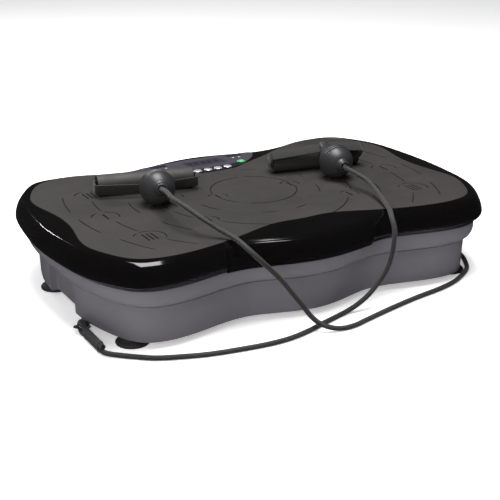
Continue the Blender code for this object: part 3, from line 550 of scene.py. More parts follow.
def facing(origin, direction, side=(1, 0, 0)):
    """Placement with local Z along direction and local X close to side."""
    z_axis = Vector(direction).normalized()
    y_axis = z_axis.cross(Vector(side)).normalized()
    x_axis = y_axis.cross(z_axis)
    turn = Matrix((x_axis, y_axis, z_axis)).transposed().to_4x4()
    return at(*origin) @ turn


# ---- Outlines ----
def radius_curve(knots):
    """Smooth cubic through the knots, level at both ends, as a function of degrees."""
    angle = np.array([knot[0] for knot in knots], float)
    radius = np.array([knot[1] for knot in knots], float)
    count = len(knots)
    step = np.diff(angle)
    slope = np.diff(radius) / step
    matrix = np.zeros((count, count))
    target = np.zeros(count)
    matrix[0, :2] = 2 * step[0], step[0]
    matrix[-1, -2:] = step[-1], 2 * step[-1]
    target[0] = 6 * slope[0]
    target[-1] = -6 * slope[-1]
    for i in range(1, count - 1):
        matrix[i, i - 1 : i + 2] = step[i - 1], 2 * (step[i - 1] + step[i]), step[i]
        target[i] = 6 * (slope[i] - slope[i - 1])
    bend = np.linalg.solve(matrix, target)

    def radius_at(turn):
        i = min(int(np.searchsorted(angle, turn, side="right")) - 1, count - 2)
        left = angle[i + 1] - turn
        right = turn - angle[i]
        cubic = (bend[i] * left**3 + bend[i + 1] * right**3) / (6 * step[i])
        low = (radius[i] / step[i] - bend[i] * step[i] / 6) * left
        high = (radius[i + 1] / step[i] - bend[i + 1] * step[i] / 6) * right
        return cubic + low + high

    return radius_at


def plan(front_knots, back_knots=None):
    """Closed outline of STATIONS points; the back half may have its own knots."""
    front = radius_curve(front_knots)
    back = radius_curve(back_knots or front_knots)
    points = []
    for i in range(STATIONS):
        turn = 360 * i / STATIONS
        fold = min(turn % 180, 180 - turn % 180)
        radius = (back if turn < 180 else front)(fold)
        points.append(Vector((radius * cos(radians(turn)), radius * sin(radians(turn)))))
    return points


def inset(points, amount):
    moved = []
    for i, point in enumerate(points):
        along = points[(i + 1) % len(points)] - points[i - 1]
        outward = Vector((along.y, -along.x)).normalized()
        moved.append(point - outward * amount)
    return moved


def blend(first, second, share):
    return [a * share + b * (1 - share) for a, b in zip(first, second)]


def raised(points, height):
    if isinstance(height, float):
        height = [height] * len(points)
    return [Vector((point.x, point.y, z)) for point, z in zip(points, height)]


def stadium(half, radius, steps=16):
    points = []
    for side, start in ((1, -pi / 2), (-1, pi / 2)):
        for i in range(steps + 1):
            turn = pi * i / steps + start
            points.append(Vector((side * half + radius * cos(turn), radius * sin(turn))))
    return points


def filleted(corners, radius, steps=12):
    """Closed outline with each corner rounded by an arc."""
    points = []
    for i, corner in enumerate(corners):
        corner = Vector(corner)
        back = (Vector(corners[i - 1]) - corner).normalized()
        ahead = (Vector(corners[(i + 1) % len(corners)]) - corner).normalized()
        half = back.angle(ahead) / 2
        centre = corner + (back + ahead).normalized() * (radius / sin(half))
        start = corner + back * (radius / tan(half)) - centre
        end = corner + ahead * (radius / tan(half)) - centre
        for step in range(steps + 1):
            points.append(centre + start.lerp(end, step / steps).normalized() * radius)
    return points


def cubic(start, end, leave, arrive, pieces):
    """Points after start on the smooth curve to end, with these directions at its ends."""
    return [start * (2 * t**3 - 3 * t**2 + 1) + leave * (t**3 - 2 * t**2 + t)
            + end * (3 * t**2 - 2 * t**3) + arrive * (t**3 - t**2)
            for t in [i / pieces for i in range(1, pieces + 1)]]


def through(points, spacing, closed=False):
    """Catmull-Rom curve through 2-D or 3-D points, about spacing apart."""
    points = [Vector(point) for point in points]
    if closed:
        ends = [points[-1], *points, points[0], points[1]]
    else:
        ends = [2 * points[0] - points[1], *points, 2 * points[-1] - points[-2]]
    path = [] if closed else [points[0]]
    for before, start, end, after in zip(ends, ends[1:], ends[2:], ends[3:]):
        length = (end - start).length
        leave = (end - before) * (length / (length + (start - before).length))
        arrive = (after - start) * (length / (length + (after - end).length))
        pieces = max(1, round(length / spacing))
        path += cubic(start, end, leave, arrive, pieces)
    return path


def smooth_rings(rings, pieces):
    """Rings with more rings between them, on smooth curves from ring to ring."""
    stack = [np.array([tuple(point) for point in ring]) for ring in rings]
    ends = [2 * stack[0] - stack[1], *stack, 2 * stack[-1] - stack[-2]]
    made = [stack[0]]
    for before, start, end, after in zip(ends, ends[1:], ends[2:], ends[3:]):
        length = np.linalg.norm(end - start, axis=1, keepdims=True)
        gap_in = np.linalg.norm(start - before, axis=1, keepdims=True)
        gap_out = np.linalg.norm(after - end, axis=1, keepdims=True)
        leave = (end - before) * length / (length + gap_in)
        arrive = (after - start) * length / (length + gap_out)
        made += cubic(start, end, leave, arrive, pieces)
    return [[Vector(point) for point in ring] for ring in made]


RIM = plan(RIM_KNOTS)
BASE = plan(BASE_KNOTS)
LIP = blend(RIM, BASE, 0.55)
MAT = plan(MAT_FRONT_KNOTS, MAT_BACK_KNOTS)
CREASE = inset(RIM, CREASE_INSET)
CREASE_HEIGHTS = [
    CREASE_Z - min(0.0026, max(0.0, 0.06 * ((outer - inner).length - 0.008)))
    for outer, inner in zip(CREASE, MAT)
]


def rim_ring(amount, share, lift=0.0):
    """Ring inset from the rim; share is of the height from the widest line to the crease."""
    heights = [
        WIDEST_Z + share * (top - WIDEST_Z if share > 0 else LOWEST_SHARE) + lift
        for top in CREASE_HEIGHTS
    ]
    return raised(inset(RIM, amount), heights)


def facet_z(y):
    """Height of the sloping facet at the back waist, which the panel lies on."""
    return FACET_Z - (y - FACET_START) * FACET_SLOPE


def on_facet(rise):
    """Surface a little above (or below) the facet, as a function of y."""
    return lambda y: facet_z(y) + rise


# ---- Cover and apron ----
def make_cover():
    edge = inset(MAT, -0.0005)
    lip = inset(MAT, -0.0008)
    crease = raised(CREASE, CREASE_HEIGHTS)
    shoulder = []
    soft = []
    for corner, inner in zip(crease, raised(lip, FACET_Z)):
        across = inner - corner
        shoulder.append(corner + across * min(0.45, 0.0018 / across.length))
        soft.append(corner + across * min(0.1, 0.0003 / across.length) - Vector((0, 0, 0.00022)))
    skin = smooth_rings([
        shoulder, soft, rim_ring(0.0078, 0.84), rim_ring(0.0040, 0.61), rim_ring(0.0012, 0.30),
        rim_ring(0.0, 0.0), rim_ring(0.0010, -0.147), rim_ring(0.0036, -0.3025),
        rim_ring(0.0080, -0.4412),
    ], 5)
    rings = [raised(edge, DECK_Z), raised(edge, FACET_Z - 0.0002), raised(lip, FACET_Z), *skin]
    for amount, z in ((0.0110, 0.0885), (0.0064, 0.0935), (0.0034, 0.0990), (0.0050, 0.1070),
                      (0.0090, 0.1130), (0.0170, COVER_INNER_Z)):
        rings.append(raised(inset(RIM, amount), z))
    cover = loft("cover_shell", rings)
    cutters = [prism("pocket", panel_outline(GAP), on_facet(-0.0015), 0.130)]
    cutters += round_cutters("stem_hole", ALL_BUTTONS, BUTTON_STEM + 0.0004, 20, low=0.10)
    finished(baked(cover, *cutters), "gloss_black", "platform", ["cover"])


APRON_SECTION = (
    (0.0096, 0.92, -0.0002), (0.0064, 0.845, 0.0010), (0.0024, 0.62, 0.0010),
    (-0.0006, 0.32, 0.0008), (-0.0016, 0.0, 0.0), (-0.0010, -0.2101, 0.0),
    (0.0008, -0.3992, 0.0), (0.0030, -0.5672, 0.0), (0.0052, -0.5672, 0.0),
    (0.0040, -0.3950, 0.0), (0.0016, -0.2521, 0.0), (-0.0003, -0.1261, 0.0),
    (-0.0003, 0.0, 0.0), (0.0007, 0.32, 0.0), (0.0034, 0.62, 0.0), (0.0073, 0.845, 0.0),
)
APRON_TURNS = (234.0, 297.0)
APRON_SLANT = 4.5
APRON_TOP = 0.118
APRON_DROP = 0.034


def sampled(ring, turn):
    """Point of a ring of STATIONS points at any turn in degrees."""
    place = turn * STATIONS / 360
    i = int(place)
    return ring[i].lerp(ring[(i + 1) % STATIONS], place - i)


def apron_section():
    """The section as (inset, share, lift), finely stepped on each side."""
    scaled = [Vector((amount, share * LOWEST_SHARE, lift)) for amount, share, lift in APRON_SECTION]
    half = len(scaled) // 2
    return through(scaled[:half], 0.0009) + through(scaled[half:], 0.0025)


def make_apron():
    """Middle panel of the long front side, hung on the cover and reaching below its edge."""
    layers = []
    for amount, height, lift in apron_section():
        share = height / LOWEST_SHARE
        ring = rim_ring(amount, share, lift)
        sunk = min(1.0, max(0.0, (APRON_TOP - sampled(ring, APRON_TURNS[1]).z) / APRON_DROP))
        layers.append((ring, APRON_TURNS[1] - APRON_SLANT * min(0.94, 1.6 * sunk)))
    columns = 72
    rings = []
    for k in range(columns + 1):
        rings.append([
            sampled(ring, APRON_TURNS[0] + (end - APRON_TURNS[0]) * k / columns)
            for ring, end in layers
        ])
    finished(loft("front_apron_panel", rings), "gloss_black", "platform", ["front_apron"])


# ---- Mat ----
MARK_CENTRE = Vector((0.0025, -0.0035))
# Dashes and links of the engraved rings, left half, from point to point round the centre.
DASHES = (
    ((-0.2490, 0.0950), (-0.2625, 0.0300)), ((-0.2640, -0.0025), (-0.2575, -0.0650)),
    ((-0.2465, -0.0985), (-0.2215, -0.1560)), ((-0.2190, 0.0600), (-0.2240, 0.0125)),
    ((-0.2235, -0.0325), (-0.2135, -0.0840)), ((-0.1938, -0.1278), (-0.1662, -0.1639)),
    ((-0.1775, 0.0300), (-0.1810, -0.0200)), ((-0.1715, -0.0650), (-0.1490, -0.1140)),
    ((-0.1400, -0.0310), (-0.1260, -0.0725)), ((-0.1020, -0.1010), (-0.0450, -0.1455)),
    ((-0.0935, -0.0275), (-0.0795, -0.0620)), ((-0.0350, -0.0975), (-0.0125, -0.1040)),
    ((-0.0970, 0.0280), (-0.0985, 0.0130)), ((-0.0560, 0.0790), (-0.0330, 0.0910)),
    ((-0.1720, 0.1330), (-0.1860, 0.1130)), ((-0.1400, 0.0240), (-0.1330, 0.0440)),
)
# Tally marks, left half: centre, number of bars, bar length, circle radius, circle's arcs.
TALLIES = (
    ((-0.2088, -0.1095), 3, 0.0255, 0.0215, ((-38, 108), (118, 150))),
    ((-0.2125, 0.0845), 3, 0.0265, 0.0215, ((100, 160), (-30, 70))),
    ((-0.2280, -0.0100), 1, 0.0225, 0.0190, ((-35, 80), (105, 160))),
    ((-0.1125, -0.0880), 1, 0.0165, 0.0135, ((-40, 50), (70, 130))),
    ((-0.1400, -0.0120), 1, 0.0165, 0.0150, ((-35, 55), (80, 150))),
    ((-0.0590, -0.0075), 1, 0.0175, 0.0140, ((-30, 45), (100, 150))),
)
INNER_CENTRE = Vector((0.0040, -0.0035))
INNER_RADIUS = 0.0620
INNER_RING = ((4, 74), (80, 171), (193, 222), (236, 352))
GROOVE_WIDTH = 0.0017
GROOVE_DEPTH = 0.0012
BAR_PITCH = 0.0062
LONE_BAR_WIDTH = 0.0030
TALLY_BAR_WIDTH = 0.0022
# Arc length of one step, in degrees times metres.
ARC_STEP = 0.20


def groove(bm, path, width, depth):
    """One closed strip of tapered section, pointed at its ends, to cut a groove with."""
    count = len(path)
    rings = []
    for i, point in enumerate(path):
        along = path[min(i + 1, count - 1)] - path[max(i - 1, 0)]
        side = Vector((along.y, -along.x)).normalized()
        grown = width / 2 * (0.45 if i in (0, count - 1) else 1.0)
        low = MAT_TOP - depth * (0.6 if i in (0, count - 1) else 1.0)
        high = MAT_TOP + 0.0006
        corners = ((-1.25, high), (1.25, high), (0.75, low), (-0.75, low))
        rings.append([
            bm.verts.new((*(point + side * grown * reach), z)) for reach, z in corners
        ])
    for here, there in zip(rings, rings[1:]):
        for i in range(4):
            j = (i + 1) % 4
            bm.faces.new((here[i], here[j], there[j], there[i]))
    bm.faces.new(rings[0])
    bm.faces.new(rings[-1])


def arc(centre, radius, start, end):
    steps = max(2, int(abs(end - start) * radius / ARC_STEP))
    turns = [radians(start + (end - start) * i / steps) for i in range(steps + 1)]
    return [centre + Vector((cos(turn), sin(turn))) * radius for turn in turns]


def dash_path(first, last):
    """From first to last with the distance from the mark centre changing evenly."""
    first = Vector(first) - MARK_CENTRE
    last = Vector(last) - MARK_CENTRE
    swing = first.angle_signed(last)
    steps = max(3, int((last - first).length / 0.006))
    path = []
    for i in range(steps + 1):
        t = i / steps
        turned = Matrix.Rotation(-swing * t, 2) @ first.normalized()
        path.append(MARK_CENTRE + turned * (first.length * (1 - t) + last.length * t))
    return path


def mirrored(path, side):
    return [Vector((point.x * side, point.y)) for point in path]


def mark_cutter():
    bm = bmesh.new()
    for side in (1, -1):
        for first, last in DASHES:
            groove(bm, mirrored(dash_path(first, last), side), GROOVE_WIDTH, GROOVE_DEPTH)
        for centre, bars, length, radius, arcs in TALLIES:
            middle = Vector((centre[0] * side + (0.003 if abs(centre[0]) < 0.1 else 0), centre[1]))
            wide = LONE_BAR_WIDTH if bars == 1 else TALLY_BAR_WIDTH
            for k in range(bars):
                x = middle.x + (k - (bars - 1) / 2) * BAR_PITCH
                ends = [Vector((x, middle.y + length * share)) for share in (-0.5, -0.45, 0.45, 0.5)]
                groove(bm, ends, wide, GROOVE_DEPTH * 1.2)
            for start, end in arcs:
                groove(bm, arc(middle, radius, start, end), GROOVE_WIDTH, GROOVE_DEPTH)
    for start, end in INNER_RING:
        groove(bm, arc(INNER_CENTRE, INNER_RADIUS, start, end), GROOVE_WIDTH, GROOVE_DEPTH)
    return from_bmesh("marks", bm)


def make_mat():
    rings = [
        raised(inset(MAT, 0.0004), MAT_BOTTOM), raised(MAT, MAT_BOTTOM + 0.0004),
        raised(MAT, MAT_TOP - 0.0012), raised(inset(MAT, 0.0003), MAT_TOP - 0.0005),
        raised(inset(MAT, 0.0008), MAT_TOP - 0.0001), raised(inset(MAT, 0.0014), MAT_TOP),
    ]
    finished(baked(loft("tread_sheet", rings), mark_cutter()), "mat_rubber", "platform",
             ["tread_mat"])


# ---- Panel, display and buttons ----
def panel_outline(grow=0.0):
    """Crescent between the mat's back waist and the back crease, corners kept."""
    front = (
        (0.0, 0.1086), (0.0220, 0.1092), (0.0400, 0.1118), (0.0560, 0.1198),
        (0.0700, 0.1312), (0.0850, 0.1450), (0.0940, 0.1580), (0.0985, 0.1680),
    )
    back = ((0.0950, 0.1742), (0.0700, 0.1768), (0.0400, 0.1810))
    half = [*front, *back]
    both = [*half, (0.0, 0.1838), *[(-x, y) for x, y in reversed(half[1:])]]
    line = through(both, 0.004, closed=True)
    return [tuple(point) for point in inset(line, -grow)] if grow else line


def overlay(name, outline, look, low=0.0003, high=0.00042):
    """Thin printed or moulded field on the panel."""
    piece = prism(name, outline, on_facet(low), on_facet(high))
    return finished(piece, "panel_grey", "platform", look=look)


def make_panel():
    panel = prism("panel_plate", panel_outline(), on_facet(-0.0012), on_facet(0.0003),
                  edge=0.00015)
    holes = round_cutters("cap_hole", ALL_BUTTONS, BUTTON_RADIUS + GAP)
    window = [(x + copysign(GAP, x), y + copysign(GAP, y - DISPLAY_MIDDLE_Y)) for x, y in DISPLAY]
    holes.append(prism("window_hole", window, on_facet(-0.0006), 0.130))
    finished(baked(panel, *holes), "panel_grey", "platform", ["control_panel"])
    glass = prism("display_glass", filleted(DISPLAY, 0.0018, 5), on_facet(-0.0003),
                  on_facet(0.0004), edge=0.0001)
    finished(glass, "display_black", "platform", ["display_window"])
    for i, x in enumerate((-0.0175, -0.0075, 0.0045, 0.0145, 0.0265)):
        for part, (low, high) in enumerate(((0.1500, 0.1552), (0.1562, 0.1614))):
            digit = ((x - 0.0030, low), (x + 0.0030, low), (x + 0.0030, high), (x - 0.0030, high))
            outline = filleted(digit, 0.0006, 3)
            overlay(f"digit_{i}_{part}", outline, "panel_dark", 0.0004, 0.00046)
    make_strip()
    make_prints()


def make_strip():
    """Dark field along the panel's front edge that the six buttons stand in."""
    front = [(x, 0.1092 + 0.9 * x * x * (1 + 280 * x * x)) for x in
             [-0.064 + 0.004 * i for i in range(33)]]
    rear = [(x * 0.93, y + 0.0155) for x, y in reversed(front)]
    piece = prism("button_field", [*front, *rear], on_facet(0.0003), on_facet(0.00042))
    holes = round_cutters("field_hole", BUTTONS, BUTTON_RADIUS + GAP)
    finished(baked(piece, *holes), "panel_grey", "platform", look="panel_dark")


def make_prints():
    """Plain printed signs: arrows beside the display and fields at the panel's ends."""
    for side in (-1, 1):
        for k in range(2):
            x = side * (0.058 + 0.010 * k)
            y = 0.1560
            tip = 0.0022 if k else -0.0022
            sign = ((x - 0.0022, y - tip * 0.8), (x + 0.0022, y - tip * 0.8), (x, y + tip))
            overlay(f"sign_{'left' if side < 0 else 'right'}_{k}", sign, "print_white")
        wing = [(side * 0.0520, 0.1640), (side * 0.0760, 0.1640), (side * 0.0820, 0.1715),
                (side * 0.0520, 0.1745)]
        if side < 0:
            wing.reverse()
        overlay(f"end_field_{side + 1}", filleted(wing, 0.0015, 4), "panel_dark")


def make_button(name, x, y, body, slot, sign):
    """Domed cap with a recessed ring, on its stem."""
    top = facet_z(y)
    profile = (
        (0, 0.00160), (0.0020, 0.00156), (0.0033, 0.00144), (0.0036, 0.00128), (0.0039, 0.00142),
        (0.0050, 0.00114), (0.0060, 0.00070), (BUTTON_RADIUS, 0.0001),
        (BUTTON_RADIUS, -0.0004), (BUTTON_STEM, -0.0004), (BUTTON_STEM, 0.1145 - top),
        (0, 0.1145 - top),
    )
    cap = lathe(name + "_cap", profile, at(x, y, top), 48)
    finished(cap, slot, body, [name], sharp=50)
    if sign == "power":
        ring = [(0.0016, 0.00162), (0.0021, 0.00162), (0.0021, 0.00150), (0.0016, 0.00150)]
        mark = lathe(name + "_sign", ring, at(x, y, top), 40, hollow=True)
    else:
        half = 0.0014
        flip = 1 if sign % 2 else -1
        corners = ((x - half, y - half * flip * 0.7), (x + half, y - half * flip * 0.7),
                   (x, y + half * flip))
        mark = prism(name + "_sign", corners, top + 0.00145, top + 0.00168)
    finished(mark, slot, body, look="panel_dark" if sign != "power" else "print_white")


# ---- Base ----
def bayed(points):
    """Inner outline pushed in behind the hand recesses of the short ends."""
    moved = []
    for point in points:
        reach = BAY_WALL_X if abs(point.y) < BAY_WALL_HALF else abs(point.x)
        moved.append(Vector((max(-reach, min(reach, point.x)), point.y)))
    return moved


def wall_ring(z, extra=0.0):
    """Ring of the drafted outer wall at a height."""
    top = GROOVE_Z - 0.0012
    return raised(inset(BASE, 0.0025 * (top - z) / (top - TUB_BOTTOM) + extra), z)


def make_tub():
    rings = [wall_ring(TUB_BOTTOM, 0.0018), wall_ring(TUB_BOTTOM + 0.0005, 0.0006),
             wall_ring(TUB_BOTTOM + 0.0018), wall_ring(0.0250), wall_ring(0.0420),
             wall_ring(GROOVE_Z - 0.0018), wall_ring(GROOVE_Z - 0.0013, 0.0003),
             wall_ring(GROOVE_Z - 0.0010, 0.0013), raised(inset(BASE, 0.0014), GROOVE_Z - 0.0004),
             raised(inset(BASE, 0.0004), GROOVE_Z)]
    for step in range(1, 15):
        turn = radians(90 * step / 14)
        z = LIP_LOW_Z - (LIP_LOW_Z - GROOVE_Z) * cos(turn)
        rings.append(raised(blend(LIP, BASE, sin(turn)), z))
    for amount, z in ((0.0, 0.0840), (0.0003, 0.0846), (0.0010, LIP_TOP_Z), (0.0058, LIP_TOP_Z),
                      (0.0060, RIB_TOP_Z), (0.0085, RIB_TOP_Z), (0.0085, 0.0820)):
        rings.append(raised(inset(LIP, amount), z))
    rings.append(raised(inset(BASE, 0.0034), 0.0660))
    rings.append(raised(bayed(inset(BASE, 0.0040)), 0.0600))
    rings.append(raised(bayed(inset(BASE, 0.0056)), TUB_FLOOR))
    cutters = [block("socket_cut", (-0.0310, 0.170, 0.0205), (0.0310, 0.210, 0.0495), 0.001)]
    for side in (-1, 1):
        near, far = sorted((side * BAY_X, side * 0.340))
        cutters.append(block(f"bay_{side + 1}", (near, -BAY_HALF, -0.01),
                             (far, BAY_HALF, BAY_TOP), 0.003, segments=4))
    finished(baked(loft("tub_shell", rings), *cutters), "base_grey", "base", ["base_tub"])


def make_feet():
    profile = rounded((
        (0, 0.0087), (0.0140, 0.0087), (0.0150, 0.0060), (0.0205, 0.0045),
        (FOOT_RADIUS, 0.0020), (FOOT_RADIUS - 0.0006, 0.0), (0.0160, 0.0), (0.0120, 0.0012),
        (0, 0.0018),
    ), 0.0012)
    for name in ("foot_front_left", "foot_front_right", "foot_back_left", "foot_back_right"):
        low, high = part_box(name)
        place = at((low.x + high.x) / 2, (low.y + high.y) / 2, 0)
        finished(lathe(name + "_cup", profile, place), "foot_rubber", "base", [name])


# ---- Handles ----
def swept_strap(name, middle, half_width, place):
    """Webbing of rounded section swept round a closed line; UV in metres."""
    thick = STRAP_THICKNESS / 2
    section = []
    for side, start in ((1, -90), (-1, 90)):
        for step in range(7):
            turn = radians(start + 30 * step)
            wide = side * (half_width - thick) + thick * cos(turn)
            section.append((thick * sin(turn), wide))
    count = len(middle)
    verts = []
    for i, point in enumerate(middle):
        ahead = middle[(i + 1) % count] - middle[i - 1]
        outward = Vector((ahead.y, -ahead.x)).normalized()
        for offset, wide in section:
            spot = point + outward * offset
            verts.append(place @ Vector((spot.x, spot.y, wide)))
    return skinned(name, verts, distances(section), distances(middle), outward=False)


def distances(line):
    """Distance along a closed line at each of its points, and once round."""
    made = [0.0]
    for here, there in zip(line, [*line[1:], line[0]]):
        made.append(made[-1] + dist(here, there))
    return made


def skinned(name, verts, across, along, closed=True, outward=True):
    """Tube of rings of verts, with UVs across each ring and along the rings."""
    size = len(across) - 1
    count = len(along) - 1
    faces, uvs = [], []
    for i in range(count if closed else count - 1):
        for j in range(size):
            corners = [(i, j), (i, j + 1), (i + 1, j + 1), (i + 1, j)]
            if not outward:
                corners = [corners[0], *reversed(corners[1:])]
            faces.append([ring % count * size + spot % size for ring, spot in corners])
            uvs += [(across[spot], along[ring]) for ring, spot in corners]
    if not closed:
        faces.append(tuple(reversed(range(size))))
        faces.append(tuple(range((count - 1) * size, count * size)))
        uvs += [(0.5, 0.0)] * size + [(0.5, along[-1])] * size
    mesh = bpy.data.meshes.new(name)
    mesh.from_pydata(verts, [], faces)
    layer = mesh.uv_layers.new(name="UVMap")
    for corner, uv in zip(layer.data, uvs):
        corner.uv = uv
    mesh.update()
    return linked(name, mesh)


def make_handle(label, centre, heading, roll, reach, ball_x, neck_tilt):
    """Tube grip on a webbing loop, with the two-piece ball that holds the band."""
    body = f"{label}_handle"
    frame_place = at(centre[0], centre[1], GRIP_Z) @ Matrix.Rotation(radians(heading), 4, "Z")
    lying = frame_place @ Matrix.Rotation(radians(90), 4, "Y")
    wall = rounded((
        (GRIP_BORE, -GRIP_HALF), (GRIP_RADIUS, -GRIP_HALF), (GRIP_RADIUS, GRIP_HALF),
        (GRIP_BORE, GRIP_HALF),
    ), 0.0013, 5, closed=True)
    grip = lathe(f"{label}_grip_tube_piece", wall, lying, 72, hollow=True)
    finished(grip, "grip_foam", f"{label}_grip_tube", [f"{label}_grip"])

    loop = frame_place @ Matrix.Rotation(radians(180 - roll), 4, "X")
    end = GRIP_HALF + 0.0045
    corners = (
        (-end, 0.0), (end, 0.0), (end, 0.0185), (ball_x + 0.016, reach), (ball_x - 0.016, reach),
        (-end, 0.0185),
    )
    strap = swept_strap(f"{label}_webbing_loop", evenly(filleted(corners, 0.005), 0.004),
                        STRAP_WIDTH / 2, loop)
    finished(strap, "webbing", body, [f"{label}_strap"])

    run_y = -reach * cos(radians(roll))
    run_z = reach * sin(radians(roll))
    rise = (BALL_Z - GRIP_Z - run_z) / TAIL_REACH
    ball_y = run_y - TAIL_REACH * (1 - rise**2) ** 0.5
    ball = frame_place @ at(ball_x, ball_y, BALL_Z - GRIP_Z)
    forward = ball @ facing((0, 0, 0), (0, -cos(radians(neck_tilt)), sin(radians(neck_tilt))))
    backward = ball @ facing((0, 0, 0), (0, run_y - ball_y, -rise * TAIL_REACH))
    wide = STRAP_WIDTH / 2 + 0.0004
    slot = block(f"{label}_slot_cut", (ball_x - 0.02, reach - 0.0014, -wide),
                 (ball_x + 0.02, reach + 0.0014, wide), 0.0, loop)
    make_ball(label, body, forward, backward, slot)


def evenly(points, longest):
    """Closed outline with its long sides split into short ones."""
    made = []
    for here, there in zip(points, points[1:] + points[:1]):
        pieces = max(1, round((there - here).length / longest))
        made += [here.lerp(there, i / pieces) for i in range(pieces)]
    return made


def make_ball(label, body, forward, backward, slot):
    """Front dome with its hollow neck, and back half with the tail that carries the strap."""
    dome = BALL_RADIUS - 0.0005
    front = [(0, 0.0215), (0.0046, 0.0215), (0.0046, 0.0288), (0.0054, 0.0300), (0.0066, 0.0300),
             (0.0076, 0.0292), (0.0078, 0.0278), (0.0080, 0.0262), (0.0090, 0.0247)]
    for step in range(19):
        turn = radians(24.5 + 48 * step / 18)
        front.append((dome * sin(turn), dome * cos(turn)))
    front += [(dome - 0.0016, 0.0061), (dome - 0.0016, 0.0056), (dome - 0.0004, 0.0050),
              (dome, 0.0042), (dome, 0.0014), (dome - 0.0002, 0.0006), (dome - 0.0008, 0.0002),
              (0, 0.0002)]
    finished(lathe(f"{label}_ball_dome", front, forward, 80), "ball_plastic", body,
             [f"{label}_ball_front"], sharp=50)
    back = [(0, -0.0002), (BALL_RADIUS - 0.0010, -0.0002), (BALL_RADIUS - 0.0003, -0.0006),
            (BALL_RADIUS, -0.0014)]
    for step in range(17):
        turn = radians(94 + 52 * step / 16)
        back.append((BALL_RADIUS * sin(turn), BALL_RADIUS * cos(turn)))
    back.append((0, back[-1][1]))
    tail = rounded((
        (0, 0.0527), (0.0072, 0.0527), (0.0085, 0.0505), (0.0085, 0.0400), (0.0125, 0.0300),
        (0.0180, 0.0170), (0.0205, 0.0060), (0, 0.0060),
    ), 0.004, 6)
    piece = lathe(f"{label}_ball_shell", back, forward, 80)
    baked(piece, lathe(f"{label}_tail", tail, backward, 64), operation="UNION")
    finished(baked(piece, slot), "ball_plastic", body, [f"{label}_ball_back"], sharp=50)


# ---- Bands, sleeves, rings, tabs ----
def tube_piece(name, path, radius, sides=20, closed=False):
    """Tube along a path with frames carried on without twist; u once round, v in metres."""
    count = len(path)
    tangents = []
    for i in range(count):
        if closed:
            tangents.append((path[(i + 1) % count] - path[i - 1]).normalized())
        else:
            tangents.append((path[min(i + 1, count - 1)] - path[max(i - 1, 0)]).normalized())
    normal = tangents[0].orthogonal().normalized()
    verts = []
    for point, tangent in zip(path, tangents):
        normal = (normal - tangent * normal.dot(tangent)).normalized()
        side = tangent.cross(normal)
        for k in range(sides):
            turn = 2 * pi * k / sides
            verts.append(point + (normal * cos(turn) + side * sin(turn)) * radius)
    return skinned(name, verts, [k / sides for k in range(sides + 1)], distances(path), closed)


def make_band(label, route):
    """Elastic cord from inside the ball's neck along the floor to its clamped eye."""
    exit_point = Vector(route[0])
    inner = exit_point + (exit_point - Vector(route[1])).normalized() * NECK_DEPTH
    path = [inner, *through(route, 0.0022)]
    cord = tube_piece(f"{label}_elastic_cord", path, BAND_RADIUS)
    shaded(cord, "band_sheath", 60)
    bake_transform(cord)
    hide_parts(f"band_{label}")


def make_sleeve(name, start, end):
    """Clamp round the two strands of an eye, with a rolled lip at each end."""
    start = Vector(start)
    end = Vector(end)
    length = (end - start).length
    place = facing(start, end - start, (0, 0, 1))
    low, high = 0.001, length - 0.001
    rings = []
    for z, radius in ((low, 0.00385), (low, 0.0041), (low + 0.0004, 0.0045),
                      (low + 0.0020, 0.0045), (low + 0.0026, 0.0042), (low + 0.0050, 0.0042),
                      (high - 0.0050, 0.0042), (high - 0.0026, 0.0042), (high - 0.0020, 0.0045),
                      (high - 0.0004, 0.0045), (high, 0.0041), (high, 0.00385)):
        rings.append([(p.x, p.y, z) for p in stadium(0.0035, radius)])
    piece = loft(name + "_crimp", rings, place, looped=True)
    return finished(piece, "clamp_grey", "base", [name])


def make_ring_and_tab(side, near, tab_length):
    """D-ring threaded through the eye, and the webbing loop that holds it under the tub."""
    label = "left" if side < 0 else "right"
    inward, backward = Vector(RING_HEADING).normalized()
    level = (1 - RING_DROP**2) ** 0.5
    reach = Vector((-side * inward * level, backward * level, -RING_DROP))
    across = Vector((backward, side * inward, 0))
    centre = Vector(near) + reach * RING_RADIUS
    far = Vector(near) + reach * 2 * RING_RADIUS
    arch = [(-RING_RADIUS * cos(pi * i / 48), RING_RADIUS * sin(pi * i / 48))
            for i in range(-24, 25)]
    bend = [(0.0050, 0.0095), (0.0082, 0.0088), (0.0095, 0.0072)]
    corner = through([arch[-1], *bend], 0.0012)[1:]
    other = [Vector((p.x, -p.y)) for p in reversed(corner)]
    outline = [Vector(p) for p in arch] + corner + other
    path = [centre + reach * p.x + across * p.y for p in outline]
    ring = tube_piece(f"{label}_d_ring", path, RING_WIRE, 16, closed=True)
    finished(ring, "chrome", "base", [f"band_ring_{label}"], sharp=60)
    heading = Vector((reach.x, reach.y, 0)).normalized()
    middle = far + heading * (tab_length / 2)
    upward = Vector((0, 0, 1))
    turn = Matrix((heading, upward, heading.cross(upward))).transposed().to_4x4()
    line = evenly(stadium(tab_length / 2, 0.0025), 0.004)
    tab = swept_tab(f"{label}_tab_loop", line, at(*middle) @ turn)
    finished(tab, "webbing", "base", [f"band_tab_{label}"])


